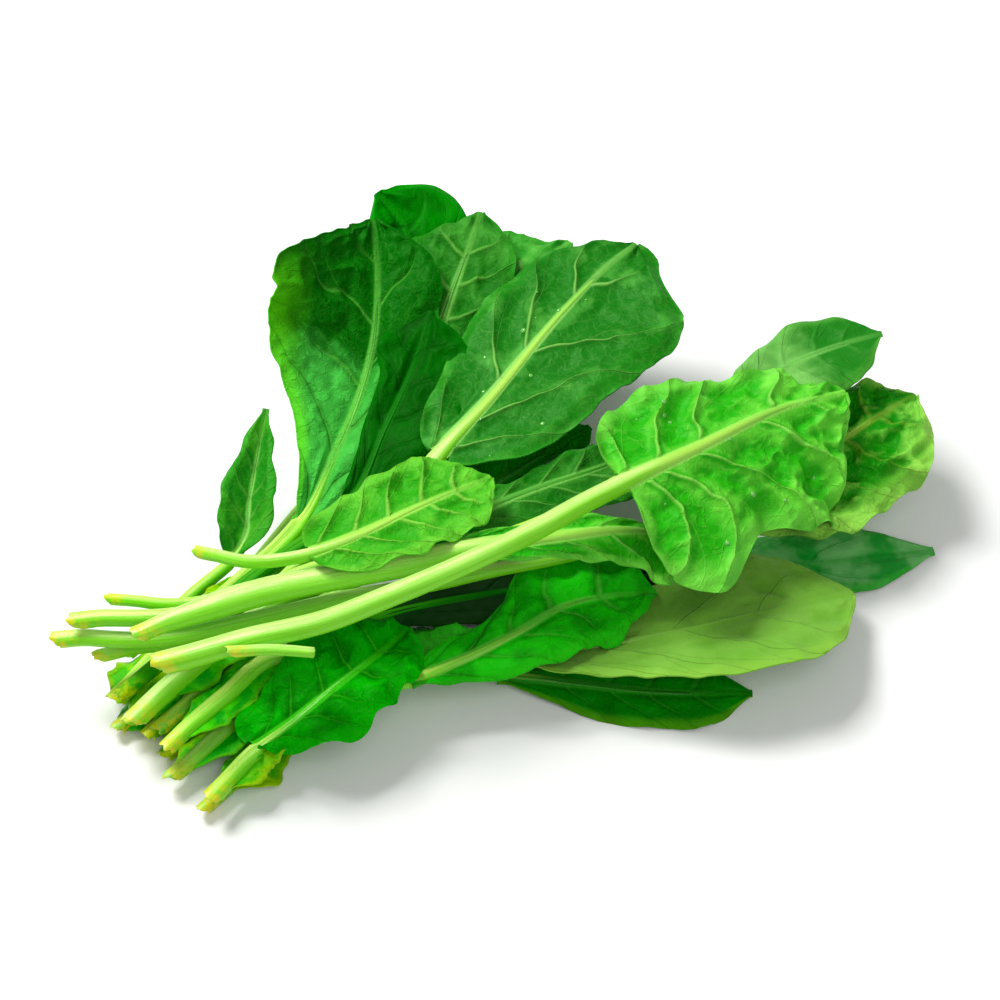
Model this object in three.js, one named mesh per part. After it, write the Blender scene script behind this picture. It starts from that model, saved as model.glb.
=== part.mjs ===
// A bunch of fresh spinach lying loose on a table: whole leaves, each a pale stalk that runs on as
// the midrib of a thin green blade. The stalks gather at the cut end and the blades fan out.
//
// Millimetres. +X runs along the bunch towards the blades, +Y across it, +Z up.
// The origin is the middle of the bunch's footprint, on the table.
import * as THREE from "three";

// ---- Driving dimensions ----
const BLADE_THICKNESS = 0.8;
const HAIRLINE = 0.45; // between a midrib's side and the blade that grows from it
const AIR = 0.5; // least air between a leaf and what it lies on
const BLADE_ROWS = 11; // quads along a blade
const BLADE_SHARES = [0, 0.26, 0.52, 0.78, 1]; // of a half blade's width, midrib to margin
const JOIN_ROW = 10; // past this row the two halves of a blade are joined
const STALK_SIDES = 6;
const PETIOLE_STEP = 22; // longest straight facet of a petiole
const PETIOLE_TAPER = 0.85; // stalk's size at the blade's base, as a share of its cut end
const MIDRIB_END = 0.9; // radius of the midrib where it fades out
const CUT_SLANT = 1.2; // how far the knife's cut leans along the stalk
const LOBE_REACH = 0.4; // share of a blade over which its base lobes hang back
const TIP_PULL = 0.35; // how far the margin is drawn back at the tip, in half widths
const PRESSED = 1.1; // what is nearer to the table than this is pressed flat onto it

// ---- The heap's upper surface, kept as a height map while the leaves are laid ----
const CELL = 0.6;
const MAP_LOW = { x: -185, y: -150 };
const MAP_HIGH = { x: 185, y: 170 };
const LEAST_COSINE = 0.35; // steepest blade that the height map allows for
const QUAD_SAMPLES = 6; // per side of a quad, when a blade is tried against the heap
const STALK_SHARES = 12; // steps across a stalk, when it is tried against the heap

// ---- How a leaf gives way to what lies under it ----
const SPINE_SHARE = 0.6; // share of a blade's lift that its midrib takes up
const SPINE_PASSES = 24;
const BLADE_PASSES = 10;

const UP = new THREE.Vector3(0, 0, 1);
const rad = THREE.MathUtils.degToRad;
const mix = THREE.MathUtils.lerp;

const DARK = { color: 0x0f6a14, roughness: 0.5 };
const GREEN = { color: 0x3f9a25, roughness: 0.5 };
const PALE = { color: 0x86a83a, roughness: 0.6 };
const STALK = { color: 0xb9dc7c, roughness: 0.45 };

// The leaves, in the order in which they are laid.
// cut is the stalk's thickness where it was cut, and blade the blade's length.
// spine is the line of the stalk and midrib from the cut end to the tip.
// Each half of a blade has its width at seven places from base to tip, and its rise off the flat
// by the midrib and further curl by the margin, in degrees, at the base, the middle and the tip.
// lobe is how far the base hangs back, in half widths, and roll turns the blade about its midrib.
// wave is the margin's ripple: its height, how many along the blade, and where it starts.
const LEAVES = [
  {
    name: "leaf_01", finish: DARK, cut: 5.5, blade: 88, lobe: 0.1, wave: [0.8, 2, 0], roll: [0, 0, 0],
    spine: [[-114, -57, 3], [-104, -44, 3], [-93, -30, 3], [-69, 10, 3], [-45, 53, 3], [-15, 93, 2],
      [17, 126, 2]],
    left: { wide: [5, 16, 25, 27, 22, 13, 3], rise: [0, 0, 0], curl: [0, 0, 0] },
    right: { wide: [5, 16, 24, 27, 22, 13, 3], rise: [0, 0, 0], curl: [0, 0, 0] },
  },
  {
    name: "leaf_02", finish: DARK, cut: 5.5, blade: 84, lobe: 0, wave: [0.5, 1, 0], roll: [0, 0, 0],
    spine: [[-94, -114, 3], [-76, -91, 3], [-60, -71, 3], [-26, -60, 3], [10, -63, 3], [46, -67, 2],
      [66, -68, 2], [83, -68, 2]],
    left: { wide: [2, 9, 16, 18, 14, 8, 3], rise: [0, 0, 0], curl: [0, 0, 0] },
    right: { wide: [2, 7, 12, 14, 13, 8, 3], rise: [0, 0, 0], curl: [0, 0, 0] },
  },
  {
    name: "leaf_03", finish: DARK, cut: 6, blade: 200, lobe: 0, wave: [0.6, 1, 2], roll: [0, 0, 0],
    spine: [[-108, -94, 3], [-90, -72, 3], [-72, -55, 4], [-34, -37, 5], [7, -27, 5], [68, -19, 4],
      [113, -13, 2], [149, -8, 2]],
    left: { wide: [4, 13, 13, 11, 13, 12, 4], rise: [8, 4, 0], curl: [5, 5, 5] },
    right: { wide: [4, 12, 12, 10, 12, 12, 4], rise: [8, 4, 0], curl: [5, 5, 5] },
  },
  {
    name: "leaf_04", finish: PALE, cut: 6.5, blade: 132, lobe: 0, wave: [0.8, 1, 0], roll: [-12, -14, -8],
    spine: [[-105, -104, 6], [-86, -83, 7], [-69, -66, 8], [-26, -64, 10], [7, -60, 12], [43, -56, 15],
      [82, -47, 17], [118, -33, 11]],
    left: { wide: [2, 11, 20, 25, 26, 22, 10], rise: [8, 4, 0], curl: [5, 5, 5] },
    right: { wide: [2, 11, 21, 27, 26, 20, 9], rise: [8, 4, 0], curl: [5, 5, 5] },
  },
  {
    name: "leaf_05", finish: DARK, cut: 6, blade: 78, lobe: 0, wave: [1, 2, 0], roll: [0, 0, 0],
    spine: [[-124, -83, 3], [-104, -60, 3], [-87, -39, 4], [-60, 0, 9], [-42, 53, 22], [-33, 84, 36],
      [-34, 103, 48], [-44, 113, 56]],
    left: { wide: [4, 14, 20, 23, 22, 15, 4], rise: [5, 3, 0], curl: [5, 5, 5] },
    right: { wide: [4, 14, 20, 22, 22, 17, 6], rise: [5, 3, 0], curl: [5, 5, 5] },
  },
  {
    name: "leaf_06", finish: DARK, cut: 6, blade: 94, lobe: 0, wave: [1.2, 2, 0], roll: [0, 0, 0],
    spine: [[-114, -86, 4], [-96, -64, 4], [-77, -43, 5], [-44, 1, 11], [-23, 35, 21], [-2, 66, 37],
      [14, 88, 45], [25, 98, 46]],
    left: { wide: [4, 14, 22, 25, 23, 16, 5], rise: [5, 3, 0], curl: [5, 5, 5] },
    right: { wide: [4, 14, 24, 27, 24, 15, 5], rise: [5, 3, 0], curl: [5, 5, 5] },
  },
  {
    name: "leaf_07", finish: GREEN, cut: 5, blade: 56, lobe: 0, wave: [0.5, 1, 0], roll: [0, 0, 0],
    spine: [[-123, -57, 8], [-113, -45, 9], [-104, -32, 8], [-87, -16, 15], [-85, 0, 20],
      [-82, 20, 28], [-80, 29, 34]],
    left: { wide: [8, 12, 12, 9, 6, 4, 2], rise: [45, 45, 45], curl: [5, 5, 5] },
    right: { wide: [3, 10, 12, 9, 6, 4, 2], rise: [45, 45, 45], curl: [5, 5, 5] },
  },
  {
    name: "leaf_08", finish: GREEN, cut: 6, blade: 78, lobe: 0, wave: [1, 2, 0], roll: [0, 0, 0],
    spine: [[-120, -85, 9], [-101, -62, 9], [-83, -41, 10], [-54, -9, 18], [-29, 37, 29],
      [-18, 71, 42], [-10, 95, 50], [-7, 106, 53]],
    left: { wide: [4, 14, 20, 22, 20, 13, 4], rise: [5, 3, 0], curl: [5, 5, 5] },
    right: { wide: [4, 14, 20, 21, 17, 12, 4], rise: [5, 3, 0], curl: [5, 5, 5] },
  },
  {
    name: "leaf_09", finish: DARK, cut: 6.5, blade: 90, lobe: 0, wave: [1.5, 2, 0], roll: [0, 0, 0],
    spine: [[-106, -98, 14], [-89, -78, 14], [-73, -63, 14], [-32, -74, 17], [-13, -66, 17],
      [7, -55, 19], [21, -45, 19], [36, -40, 18], [52, -37, 16]],
    left: { wide: [4, 9, 12, 20, 27, 20, 6], rise: [5, 3, 0], curl: [5, 5, 5] },
    right: { wide: [3, 10, 16, 19, 18, 12, 4], rise: [5, 3, 0], curl: [5, 5, 5] },
  },
  {
    name: "leaf_10", finish: DARK, cut: 7, blade: 66, lobe: 0.4, wave: [1.5, 3, 0], roll: [0, 0, 0],
    spine: [[-91, -114, 10], [-79, -97, 10], [-66, -89, 16], [-53, -79, 20], [-39, -66, 21],
      [-30, -54, 19]],
    left: { wide: [11, 15, 20, 25, 26, 20, 6], rise: [5, 3, 0], curl: [5, 5, 5] },
    right: { wide: [2, 11, 20, 17, 15, 11, 4], rise: [5, 3, 0], curl: [5, 5, 5] },
  },
  {
    name: "leaf_11", finish: DARK, cut: 7.5, blade: 120, lobe: 0, wave: [1, 2, 0], roll: [0, 0, 0],
    spine: [[-125, -76, 9], [-109, -56, 10], [-91, -35, 12], [-66, -9, 20], [-58, 10, 26],
      [-49, 34, 33], [-44, 56, 40], [-43, 77, 48], [-45, 100, 55]],
    left: { wide: [4, 13, 33, 41, 38, 27, 9], rise: [8, 14, 16], curl: [20, 40, 50] },
    right: { wide: [4, 12, 19, 22, 21, 17, 8], rise: [5, 3, 0], curl: [5, 5, 5] },
  },
  {
    name: "leaf_12", finish: DARK, cut: 6.5, blade: 82, lobe: 0, wave: [1, 2, 0], roll: [0, 0, 0],
    spine: [[-110, -88, 9], [-92, -67, 9], [-75, -50, 10], [-40, -25, 16], [-17, -7, 20], [7, 10, 25],
      [31, 26, 28]],
    left: { wide: [3, 12, 18, 20, 18, 12, 3], rise: [5, 3, 0], curl: [5, 5, 5] },
    right: { wide: [3, 10, 13, 14, 14, 10, 4], rise: [5, 3, 0], curl: [5, 5, 5] },
  },
  {
    name: "leaf_13", finish: DARK, cut: 6, blade: 84, lobe: 0, wave: [1, 2, 0], roll: [0, 0, 0],
    spine: [[-122, -79, 16], [-104, -58, 16], [-87, -38, 18], [-50, -9, 30], [-39, 17, 37],
      [-29, 44, 42], [-24, 63, 47]],
    left: { wide: [3, 6, 8, 9, 13, 12, 4], rise: [5, 3, 0], curl: [5, 5, 5] },
    right: { wide: [3, 12, 19, 22, 19, 13, 4], rise: [5, 3, 0], curl: [5, 5, 5] },
  },
  {
    name: "leaf_14", finish: GREEN, cut: 8, blade: 114, lobe: 0.1, wave: [1.2, 2, 0], roll: [0, 0, 0],
    spine: [[-117, -89, 16], [-98, -66, 16], [-78, -48, 18], [-41, -28, 30], [-20, 3, 40],
      [-5, 22, 44], [9, 43, 46], [23, 63, 48], [37, 82, 49], [48, 93, 50]],
    left: { wide: [10, 19, 25, 25, 22, 17, 8], rise: [5, 3, 0], curl: [5, 5, 5] },
    right: { wide: [13, 26, 33, 36, 35, 29, 13], rise: [5, 3, 0], curl: [5, 5, 5] },
  },
  {
    name: "stub_01", finish: STALK, cut: 5, blade: 0, lobe: 0, wave: [0, 1, 0], roll: [0, 0, 0],
    spine: [[-130, -67, 21], [-113, -64, 22], [-92, -62, 23]],
  },
  {
    name: "leaf_15", finish: DARK, cut: 4.5, blade: 78, lobe: 0, wave: [1, 2, 0], roll: [0, 0, 0],
    spine: [[-128, -45, 23], [-101, -50, 26], [-59, -40, 34], [-23, -29, 37], [7, -13, 38],
      [34, 0, 37], [51, 14, 31]],
    left: { wide: [3, 7, 9, 10, 9, 7, 3], rise: [5, 3, 0], curl: [5, 5, 5] },
    right: { wide: [3, 10, 14, 16, 15, 11, 4], rise: [5, 3, 0], curl: [5, 5, 5] },
  },
  {
    name: "leaf_16", finish: GREEN, cut: 5.5, blade: 92, lobe: 0, wave: [1.8, 2, 0], roll: [0, 0, 0],
    spine: [[-143, -64, 26], [-100, -64, 29], [-46, -49, 30], [20, -29, 25], [67, -11, 26],
      [102, 9, 28], [131, 29, 31], [144, 40, 29]],
    left: { wide: [4, 14, 22, 25, 23, 16, 5], rise: [5, 3, 0], curl: [5, 5, 5] },
    right: { wide: [4, 20, 31, 32, 26, 18, 6], rise: [0, -8, -8], curl: [5, 5, 5] },
  },
  {
    name: "leaf_17", finish: GREEN, cut: 5.5, blade: 62, lobe: 0, wave: [1, 2, 0], roll: [0, 0, 0],
    spine: [[-137, -61, 31], [-100, -60, 34], [-45, -47, 39], [15, -29, 44], [63, 6, 47],
      [100, 43, 41], [121, 51, 44], [132, 53, 46]],
    left: { wide: [4, 10, 13, 14, 12, 8, 3], rise: [5, 3, 0], curl: [5, 5, 5] },
    right: { wide: [4, 12, 17, 19, 16, 10, 3], rise: [5, 3, 0], curl: [5, 5, 5] },
  },
  {
    name: "leaf_18", finish: GREEN, cut: 9.5, blade: 88, lobe: 0, wave: [1, 2, 0], roll: [0, 0, 0],
    spine: [[-115, -71, 38], [-83, -61, 43], [-53, -55, 46], [-26, -48, 47], [-3, -43, 48],
      [19, -38, 46], [46, -28, 37], [65, -26, 27]],
    left: { wide: [4, 6, 8, 7, 4, 3, 2], rise: [5, 3, 0], curl: [5, 5, 5] },
    right: { wide: [3, 6, 8, 11, 15, 18, 9], rise: [0, -10, -10], curl: [5, 5, 5] },
  },
  {
    name: "leaf_19", finish: GREEN, cut: 7.5, blade: 92, lobe: 0.3, wave: [1.8, 3, 0], roll: [0, 0, 0],
    spine: [[-106, -86, 43], [-81, -81, 47], [-56, -75, 50], [-31, -65, 53], [-6, -54, 57],
      [13, -42, 57], [32, -28, 56], [66, -4, 52], [93, 15, 49], [117, 27, 45]],
    left: { wide: [13, 29, 27, 22, 16, 11, 4], rise: [5, 3, 0], curl: [5, 5, 5] },
    right: { wide: [30, 46, 34, 42, 38, 28, 14], rise: [-14, -20, -20], curl: [-10, -15, -20] },
  },
  {
    name: "leaf_20", finish: PALE, cut: 5, blade: 68, lobe: 0.3, wave: [1.2, 2, 0], roll: [0, 0, 0],
    spine: [[-98, -38, 39], [-80, -49, 47], [-64, -50, 51], [-46, -43, 53], [-29, -32, 52],
      [-3, -14, 48]],
    left: { wide: [9, 15, 18, 18, 17, 13, 5], rise: [5, 3, 0], curl: [5, 5, 5] },
    right: { wide: [5, 13, 17, 18, 16, 12, 5], rise: [5, 3, 0], curl: [5, 5, 5] },
  },
  {
    name: "stub_02", finish: STALK, cut: 4, blade: 0, lobe: 0, wave: [0, 1, 0], roll: [0, 0, 0],
    spine: [[-84, -87, 50], [-71, -86, 49], [-58, -86, 47]],
  },
];

// The heap's upper surface, as the highest point laid so far in each cell of a square grid.
class Heap {
  constructor() {
    this.columns = Math.ceil((MAP_HIGH.x - MAP_LOW.x) / CELL);
    this.rows = Math.ceil((MAP_HIGH.y - MAP_LOW.y) / CELL);
    this.height = new Float64Array(this.columns * this.rows);
  }
  // The highest point in the three by three cells round a place.
  top(x, y) {
    const column = Math.floor((x - MAP_LOW.x) / CELL);
    const row = Math.floor((y - MAP_LOW.y) / CELL);
    let highest = 0;
    for (let r = Math.max(0, row - 1); r <= Math.min(this.rows - 1, row + 1); r++) {
      for (let c = Math.max(0, column - 1); c <= Math.min(this.columns - 1, column + 1); c++) {
        highest = Math.max(highest, this.height[r * this.columns + c]);
      }
    }
    return highest;
  }
  stamp(x, y, z) {
    const column = Math.floor((x - MAP_LOW.x) / CELL);
    const row = Math.floor((y - MAP_LOW.y) / CELL);
    const cell = row * this.columns + column;
    this.height[cell] = Math.max(this.height[cell], z);
  }
}

// A smooth curve through values at even steps, read at a share of the way.
function smooth(values, share) {
  const steps = values.length - 1;
  const i = Math.min(Math.floor(share * steps), steps - 1);
  const t = share * steps - i;
  const [from, to] = [values[i], values[i + 1]];
  const leaving = i > 0 ? (to - values[i - 1]) / 2 : to - from;
  const arriving = i + 2 <= steps ? (values[i + 2] - from) / 2 : to - from;
  const fall = 2 * t ** 3 - 3 * t ** 2 + 1;
  return fall * from + (1 - fall) * to + (t ** 3 - 2 * t ** 2 + t) * leaving + (t ** 3 - t ** 2) * arriving;
}

// Three values, at the base, the middle and the tip, read at a share of the way.
function threeWay([base, middle, tip], share) {
  return share < 0.5 ? mix(base, middle, 2 * share) : mix(middle, tip, 2 * share - 1);
}

// The leaf's rows, from the cut end to the tip. Each has its centre and directions, how thick the
// stalk is there and, on the blade, its step (0 to 1) and how far along the blade that is.
function rowsOf(leaf) {
  const points = leaf.spine.map((point) => new THREE.Vector3(...point));
  const curve = new THREE.CatmullRomCurve3(points, false, "centripetal");
  const length = curve.getLength();
  const petiole = length - leaf.blade;
  const thin = (leaf.cut / 2) * PETIOLE_TAPER;
  const steps = Math.ceil(petiole / PETIOLE_STEP);
  const rows = [];
  for (let i = 0; i < steps; i++) {
    const radius = mix(leaf.cut / 2, thin, i / steps);
    rows.push({ u: ((petiole / length) * i) / steps, radius, along: 0 });
  }
  if (leaf.blade === 0) rows.push({ u: 1, radius: thin, along: 0 });
  for (let i = 0; leaf.blade > 0 && i <= BLADE_ROWS; i++) {
    const step = i / BLADE_ROWS;
    const along = (step + Math.sin((Math.PI / 2) * step)) / 2; // closer rows by the tip
    const u = Math.min(1, (petiole + leaf.blade * along) / length);
    rows.push({ u, radius: mix(thin, MIDRIB_END, along), along, step });
  }
  for (const row of rows) {
    row.centre = curve.getPointAt(row.u);
    row.tangent = curve.getTangentAt(row.u);
    row.normal = UP.clone().addScaledVector(row.tangent, -row.tangent.z).normalize();
    row.left = new THREE.Vector3().crossVectors(row.normal, row.tangent);
    const roll = rad(threeWay(leaf.roll, row.along));
    row.left.applyAxisAngle(row.tangent, roll);
    row.normal.applyAxisAngle(row.tangent, roll);
  }
  return rows;
}

// One half of a blade's row, from beside the midrib to the margin. side is 1 on the left, -1 right.
function halfRow(leaf, row, index, side) {
  const half = side > 0 ? leaf.left : leaf.right;
  const width = smooth(half.wide, row.step);
  const rise = rad(threeWay(half.rise, row.along));
  const curl = rad(threeWay(half.curl, row.along));
  const inner = (index < JOIN_ROW ? row.radius : MIDRIB_END) + HAIRLINE;
  const [height, count, start] = leaf.wave;
  const phase = 2 * Math.PI * count * row.along + start + (side > 0 ? 0 : 2);
  const hangsBack = leaf.lobe * Math.max(0, 1 - row.along / LOBE_REACH) + TIP_PULL * row.along ** 6;
  return BLADE_SHARES.map((share) => {
    // An arc that leaves the midrib at the rise and has turned by the curl at the margin.
    const halfTurn = (curl * share) / 2;
    const shortening = Math.abs(halfTurn) < 1e-6 ? 1 : Math.sin(halfTurn) / halfTurn;
    const reach = (inner + share * Math.max(0, width - inner)) * shortening;
    const ripple = height * share ** 2 * Math.sin(phase);
    return row.centre.clone()
      .addScaledVector(row.left, side * reach * Math.cos(rise + halfTurn))
      .addScaledVector(row.normal, reach * Math.sin(rise + halfTurn) + ripple)
      .addScaledVector(row.tangent, -width * share ** 2 * hangsBack);
  });
}

// Sample points all over a quad of a blade, with how far the blade's face stands above each.
function* quadSamples([a, b, c, d], count) {
  const face = new THREE.Vector3().crossVectors(b.clone().sub(a), c.clone().sub(a)).normalize();
  const stand = BLADE_THICKNESS / 2 / Math.max(LEAST_COSINE, Math.abs(face.z));
  for (let i = 0; i < count; i++) {
    for (let j = 0; j < count; j++) {
      const s = (i + 0.5) / count;
      const t = (j + 0.5) / count;
      yield { point: a.clone().lerp(b, s).lerp(d.clone().lerp(c, s), t), stand };
    }
  }
}

// Sample points across a stretch of stalk, with how far its round side stands above each.
function* stalkSamples(from, to, step) {
  const count = Math.ceil(from.centre.distanceTo(to.centre) / step);
  for (let i = 0; i <= count; i++) {
    const middle = from.centre.clone().lerp(to.centre, i / count);
    const radius = mix(from.radius, to.radius, i / count);
    for (let k = 0; k <= STALK_SHARES; k++) {
      const share = (2 * k) / STALK_SHARES - 1;
      const point = middle.clone().addScaledVector(from.left, share * radius).setZ(middle.z);
      yield { point, stand: radius * Math.sqrt(1 - share * share) };
    }
  }
}

// The blade's quads: the places of their four corners in the lattice, going round.
function quadsOf(rowCount, columns) {
  const quads = [];
  for (let i = 0; i + 1 < rowCount; i++) {
    for (let j = 0; j + 1 < columns; j++) {
      const k = i * columns + j;
      quads.push([k, k + 1, k + columns + 1, k + columns]);
    }
  }
  return quads;
}

// Spreads the lifts among their neighbours, with none less than it needs to be.
function relaxed(needs, neighbours, passes) {
  let lifts = needs;
  for (let pass = 0; pass < passes; pass++) {
    lifts = lifts.map((lift, k, before) => {
      const near = neighbours[k];
      const mean = near.reduce((sum, n) => sum + before[n], 0) / near.length;
      return Math.max(needs[k], (lift + mean) / 2);
    });
  }
  return lifts;
}

// Lays one leaf on the heap. It keeps its own shape where it is clear of the heap, and bends up
// over what it would cut into. Returns its rows, and the lattice of its blade's points, in rows
// from the left margin to the right one.
function lay(leaf, heap) {
  const rows = rowsOf(leaf);
  const bladeRows = rows.filter((row) => row.step !== undefined);
  const lattice = bladeRows.flatMap((row, i) => [
    ...halfRow(leaf, row, i, 1).reverse(),
    ...halfRow(leaf, row, i, -1),
  ]);
  const columns = 2 * BLADE_SHARES.length;
  const besideRib = [BLADE_SHARES.length - 1, BLADE_SHARES.length];
  const quads = quadsOf(bladeRows.length, columns);
  const petioleRows = rows.length - bladeRows.length;
  const shortfall = ({ point, stand }) => heap.top(point.x, point.y) + stand + AIR - point.z;

  const spineNeeds = rows.map(() => 0);
  for (let i = 0; i + 1 < rows.length; i++) {
    for (const sample of stalkSamples(rows[i], rows[i + 1], 2 * CELL)) {
      const need = shortfall(sample);
      spineNeeds[i] = Math.max(spineNeeds[i], need);
      spineNeeds[i + 1] = Math.max(spineNeeds[i + 1], need);
    }
  }
  const bladeNeeds = lattice.map(() => 0);
  for (const quad of quads) {
    for (const sample of quadSamples(quad.map((k) => lattice[k]), QUAD_SAMPLES)) {
      const need = shortfall(sample);
      for (const k of quad) bladeNeeds[k] = Math.max(bladeNeeds[k], need);
    }
  }
  for (let i = 0; i < bladeRows.length; i++) {
    const across = bladeNeeds.slice(i * columns, (i + 1) * columns);
    const atRib = besideRib.map((j) => across[j]);
    const row = petioleRows + i;
    spineNeeds[row] = Math.max(spineNeeds[row], ...atRib, SPINE_SHARE * Math.max(...across));
  }

  const alongSpine = rows.map((_, k) => [Math.max(0, k - 1), Math.min(rows.length - 1, k + 1)]);
  const spineLifts = relaxed(spineNeeds, alongSpine, SPINE_PASSES);
  const rowLift = (k) => spineLifts[petioleRows + Math.floor(k / columns)];
  const round = lattice.map((_, k) => [
    ...(k >= columns ? [k - columns] : []),
    ...(k + columns < lattice.length ? [k + columns] : []),
    ...(k % columns > 0 ? [k - 1] : []),
    ...((k + 1) % columns > 0 ? [k + 1] : []),
  ]);
  const extraNeeds = bladeNeeds.map((need, k) => Math.max(0, need - rowLift(k)));
  const extraLifts = relaxed(extraNeeds, round, BLADE_PASSES);
  rows.forEach((row, i) => (row.centre.z += spineLifts[i]));
  lattice.forEach((point, k) => {
    const extra = besideRib.includes(k % columns) ? 0 : extraLifts[k];
    point.z += rowLift(k) + extra;
  });

  for (let i = 0; i + 1 < rows.length; i++) {
    for (const { point, stand } of stalkSamples(rows[i], rows[i + 1], 0.6 * CELL)) {
      heap.stamp(point.x, point.y, point.z + stand);
    }
  }
  for (const quad of quads) {
    const corners = quad.map((k) => lattice[k]);
    const longest = Math.max(corners[0].distanceTo(corners[1]), corners[0].distanceTo(corners[3]));
    for (const { point, stand } of quadSamples(corners, Math.ceil(longest / (0.7 * CELL)))) {
      heap.stamp(point.x, point.y, point.z + stand);
    }
  }
  return { rows, petioleRows, lattice, columns };
}

// What all but touches the table is pressed flat onto it.
function press(points) {
  for (const point of points) {
    if (point.z < PRESSED) point.z = 0;
  }
}

function geometryOf(points, triangles) {
  press(points);
  const geometry = new THREE.BufferGeometry();
  geometry.setAttribute("position", new THREE.Float32BufferAttribute(points.flatMap((p) => p.toArray()), 3));
  geometry.setIndex(triangles.flat());
  geometry.computeVertexNormals();
  return geometry;
}

// A closed sheet of the blade's thickness over the lattice, with both faces split alike. The quads
// over the midrib are left out, up to where the two halves join.
function bladeGeometry({ lattice, columns }) {
  const overRib = (k) => k % columns === columns / 2 - 1 && k < JOIN_ROW * columns;
  const quads = quadsOf(lattice.length / columns, columns).filter(([k]) => !overRib(k));
  const normals = lattice.map(() => new THREE.Vector3());
  for (const quad of quads) {
    const [a, b, c, d] = quad.map((k) => lattice[k]);
    const face = new THREE.Vector3().crossVectors(c.clone().sub(a), d.clone().sub(b)).normalize();
    for (const k of quad) normals[k].add(face);
  }
  normals.forEach((normal) => normal.normalize());
  const offset = (distance) => lattice.map((point, k) => point.clone().addScaledVector(normals[k], distance));
  const under = lattice.length;
  const triangles = [];
  const rim = new Map();
  for (const [a, b, c, d] of quads) {
    triangles.push([a, b, c], [a, c, d]);
    triangles.push([under + a, under + c, under + b], [under + a, under + d, under + c]);
    for (const [from, to] of [[a, b], [b, c], [c, d], [d, a]]) {
      if (!rim.delete(`${to} ${from}`)) rim.set(`${from} ${to}`, [from, to]);
    }
  }
  for (const [from, to] of rim.values()) {
    triangles.push([from, under + from, under + to], [from, under + to, to]);
  }
  return geometryOf([...offset(BLADE_THICKNESS / 2), ...offset(-BLADE_THICKNESS / 2)], triangles);
}

// The rows that the stalk runs through. The midrib ends just short of where the blade's halves join.
function stalkRows({ rows, petioleRows }) {
  if (petioleRows === rows.length) return rows;
  const join = petioleRows + JOIN_ROW;
  const [before, after] = [rows[join - 1], rows[join]];
  const share = 1 - (1.5 * HAIRLINE) / before.centre.distanceTo(after.centre);
  const end = { ...before, radius: MIDRIB_END, centre: before.centre.clone().lerp(after.centre, share) };
  return [...rows.slice(0, join), end];
}

// A closed tube through rings round the stalk's line, with a flat side down and both ends cut off.
function stalkGeometry(rows) {
  const points = rows.flatMap((row, i) =>
    Array.from({ length: STALK_SIDES }, (_, k) => {
      const angle = (2 * Math.PI * k) / STALK_SIDES;
      return row.centre.clone()
        .addScaledVector(row.left, row.radius * Math.cos(angle))
        .addScaledVector(row.normal, row.radius * Math.sin(angle))
        .addScaledVector(row.tangent, i === 0 ? CUT_SLANT * Math.sin(angle) : 0);
    }),
  );
  const triangles = [];
  for (let i = 0; i + 1 < rows.length; i++) {
    for (let k = 0; k < STALK_SIDES; k++) {
      const a = i * STALK_SIDES + k;
      const b = i * STALK_SIDES + ((k + 1) % STALK_SIDES);
      triangles.push([a, b, b + STALK_SIDES], [a, b + STALK_SIDES, a + STALK_SIDES]);
    }
  }
  const last = points.length - STALK_SIDES;
  for (let k = 1; k + 1 < STALK_SIDES; k++) {
    triangles.push([0, k + 1, k], [last, last + k, last + k + 1]);
  }
  return geometryOf(points, triangles);
}

function addMesh(group, name, { color, roughness }, geometry) {
  const mesh = new THREE.Mesh(geometry, new THREE.MeshStandardMaterial({ color, roughness, metalness: 0 }));
  mesh.name = name;
  group.add(mesh);
}

const bunch = new THREE.Group();
const heap = new Heap();
for (const leaf of LEAVES) {
  const laid = lay(leaf, heap);
  addMesh(bunch, `${leaf.name}_stalk`, STALK, stalkGeometry(stalkRows(laid)));
  if (leaf.blade > 0) addMesh(bunch, `${leaf.name}_blade`, leaf.finish, bladeGeometry(laid));
}

// The footprint's middle goes to the origin.
const middle = new THREE.Box3().setFromObject(bunch).getCenter(new THREE.Vector3());
bunch.position.set(-middle.x, -middle.y, 0);

export default bunch;
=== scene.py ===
"""A bunch of fresh spinach lying loose on a pale table.

Twenty whole leaves and two loose cut stalks. Each leaf is laid on the heap by the rule that the
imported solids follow, so every fine blade and stalk takes the place and form of its node. To that
form come the veins, the puckered flesh between them, frilled margins, fluted stalks with torn cut
ends and a few drops of water.

The leaf table and the laying rule are in millimetres, and the meshes are in metres.
"""

import logging
import math
from dataclasses import dataclass, replace
from enum import Enum

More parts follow.
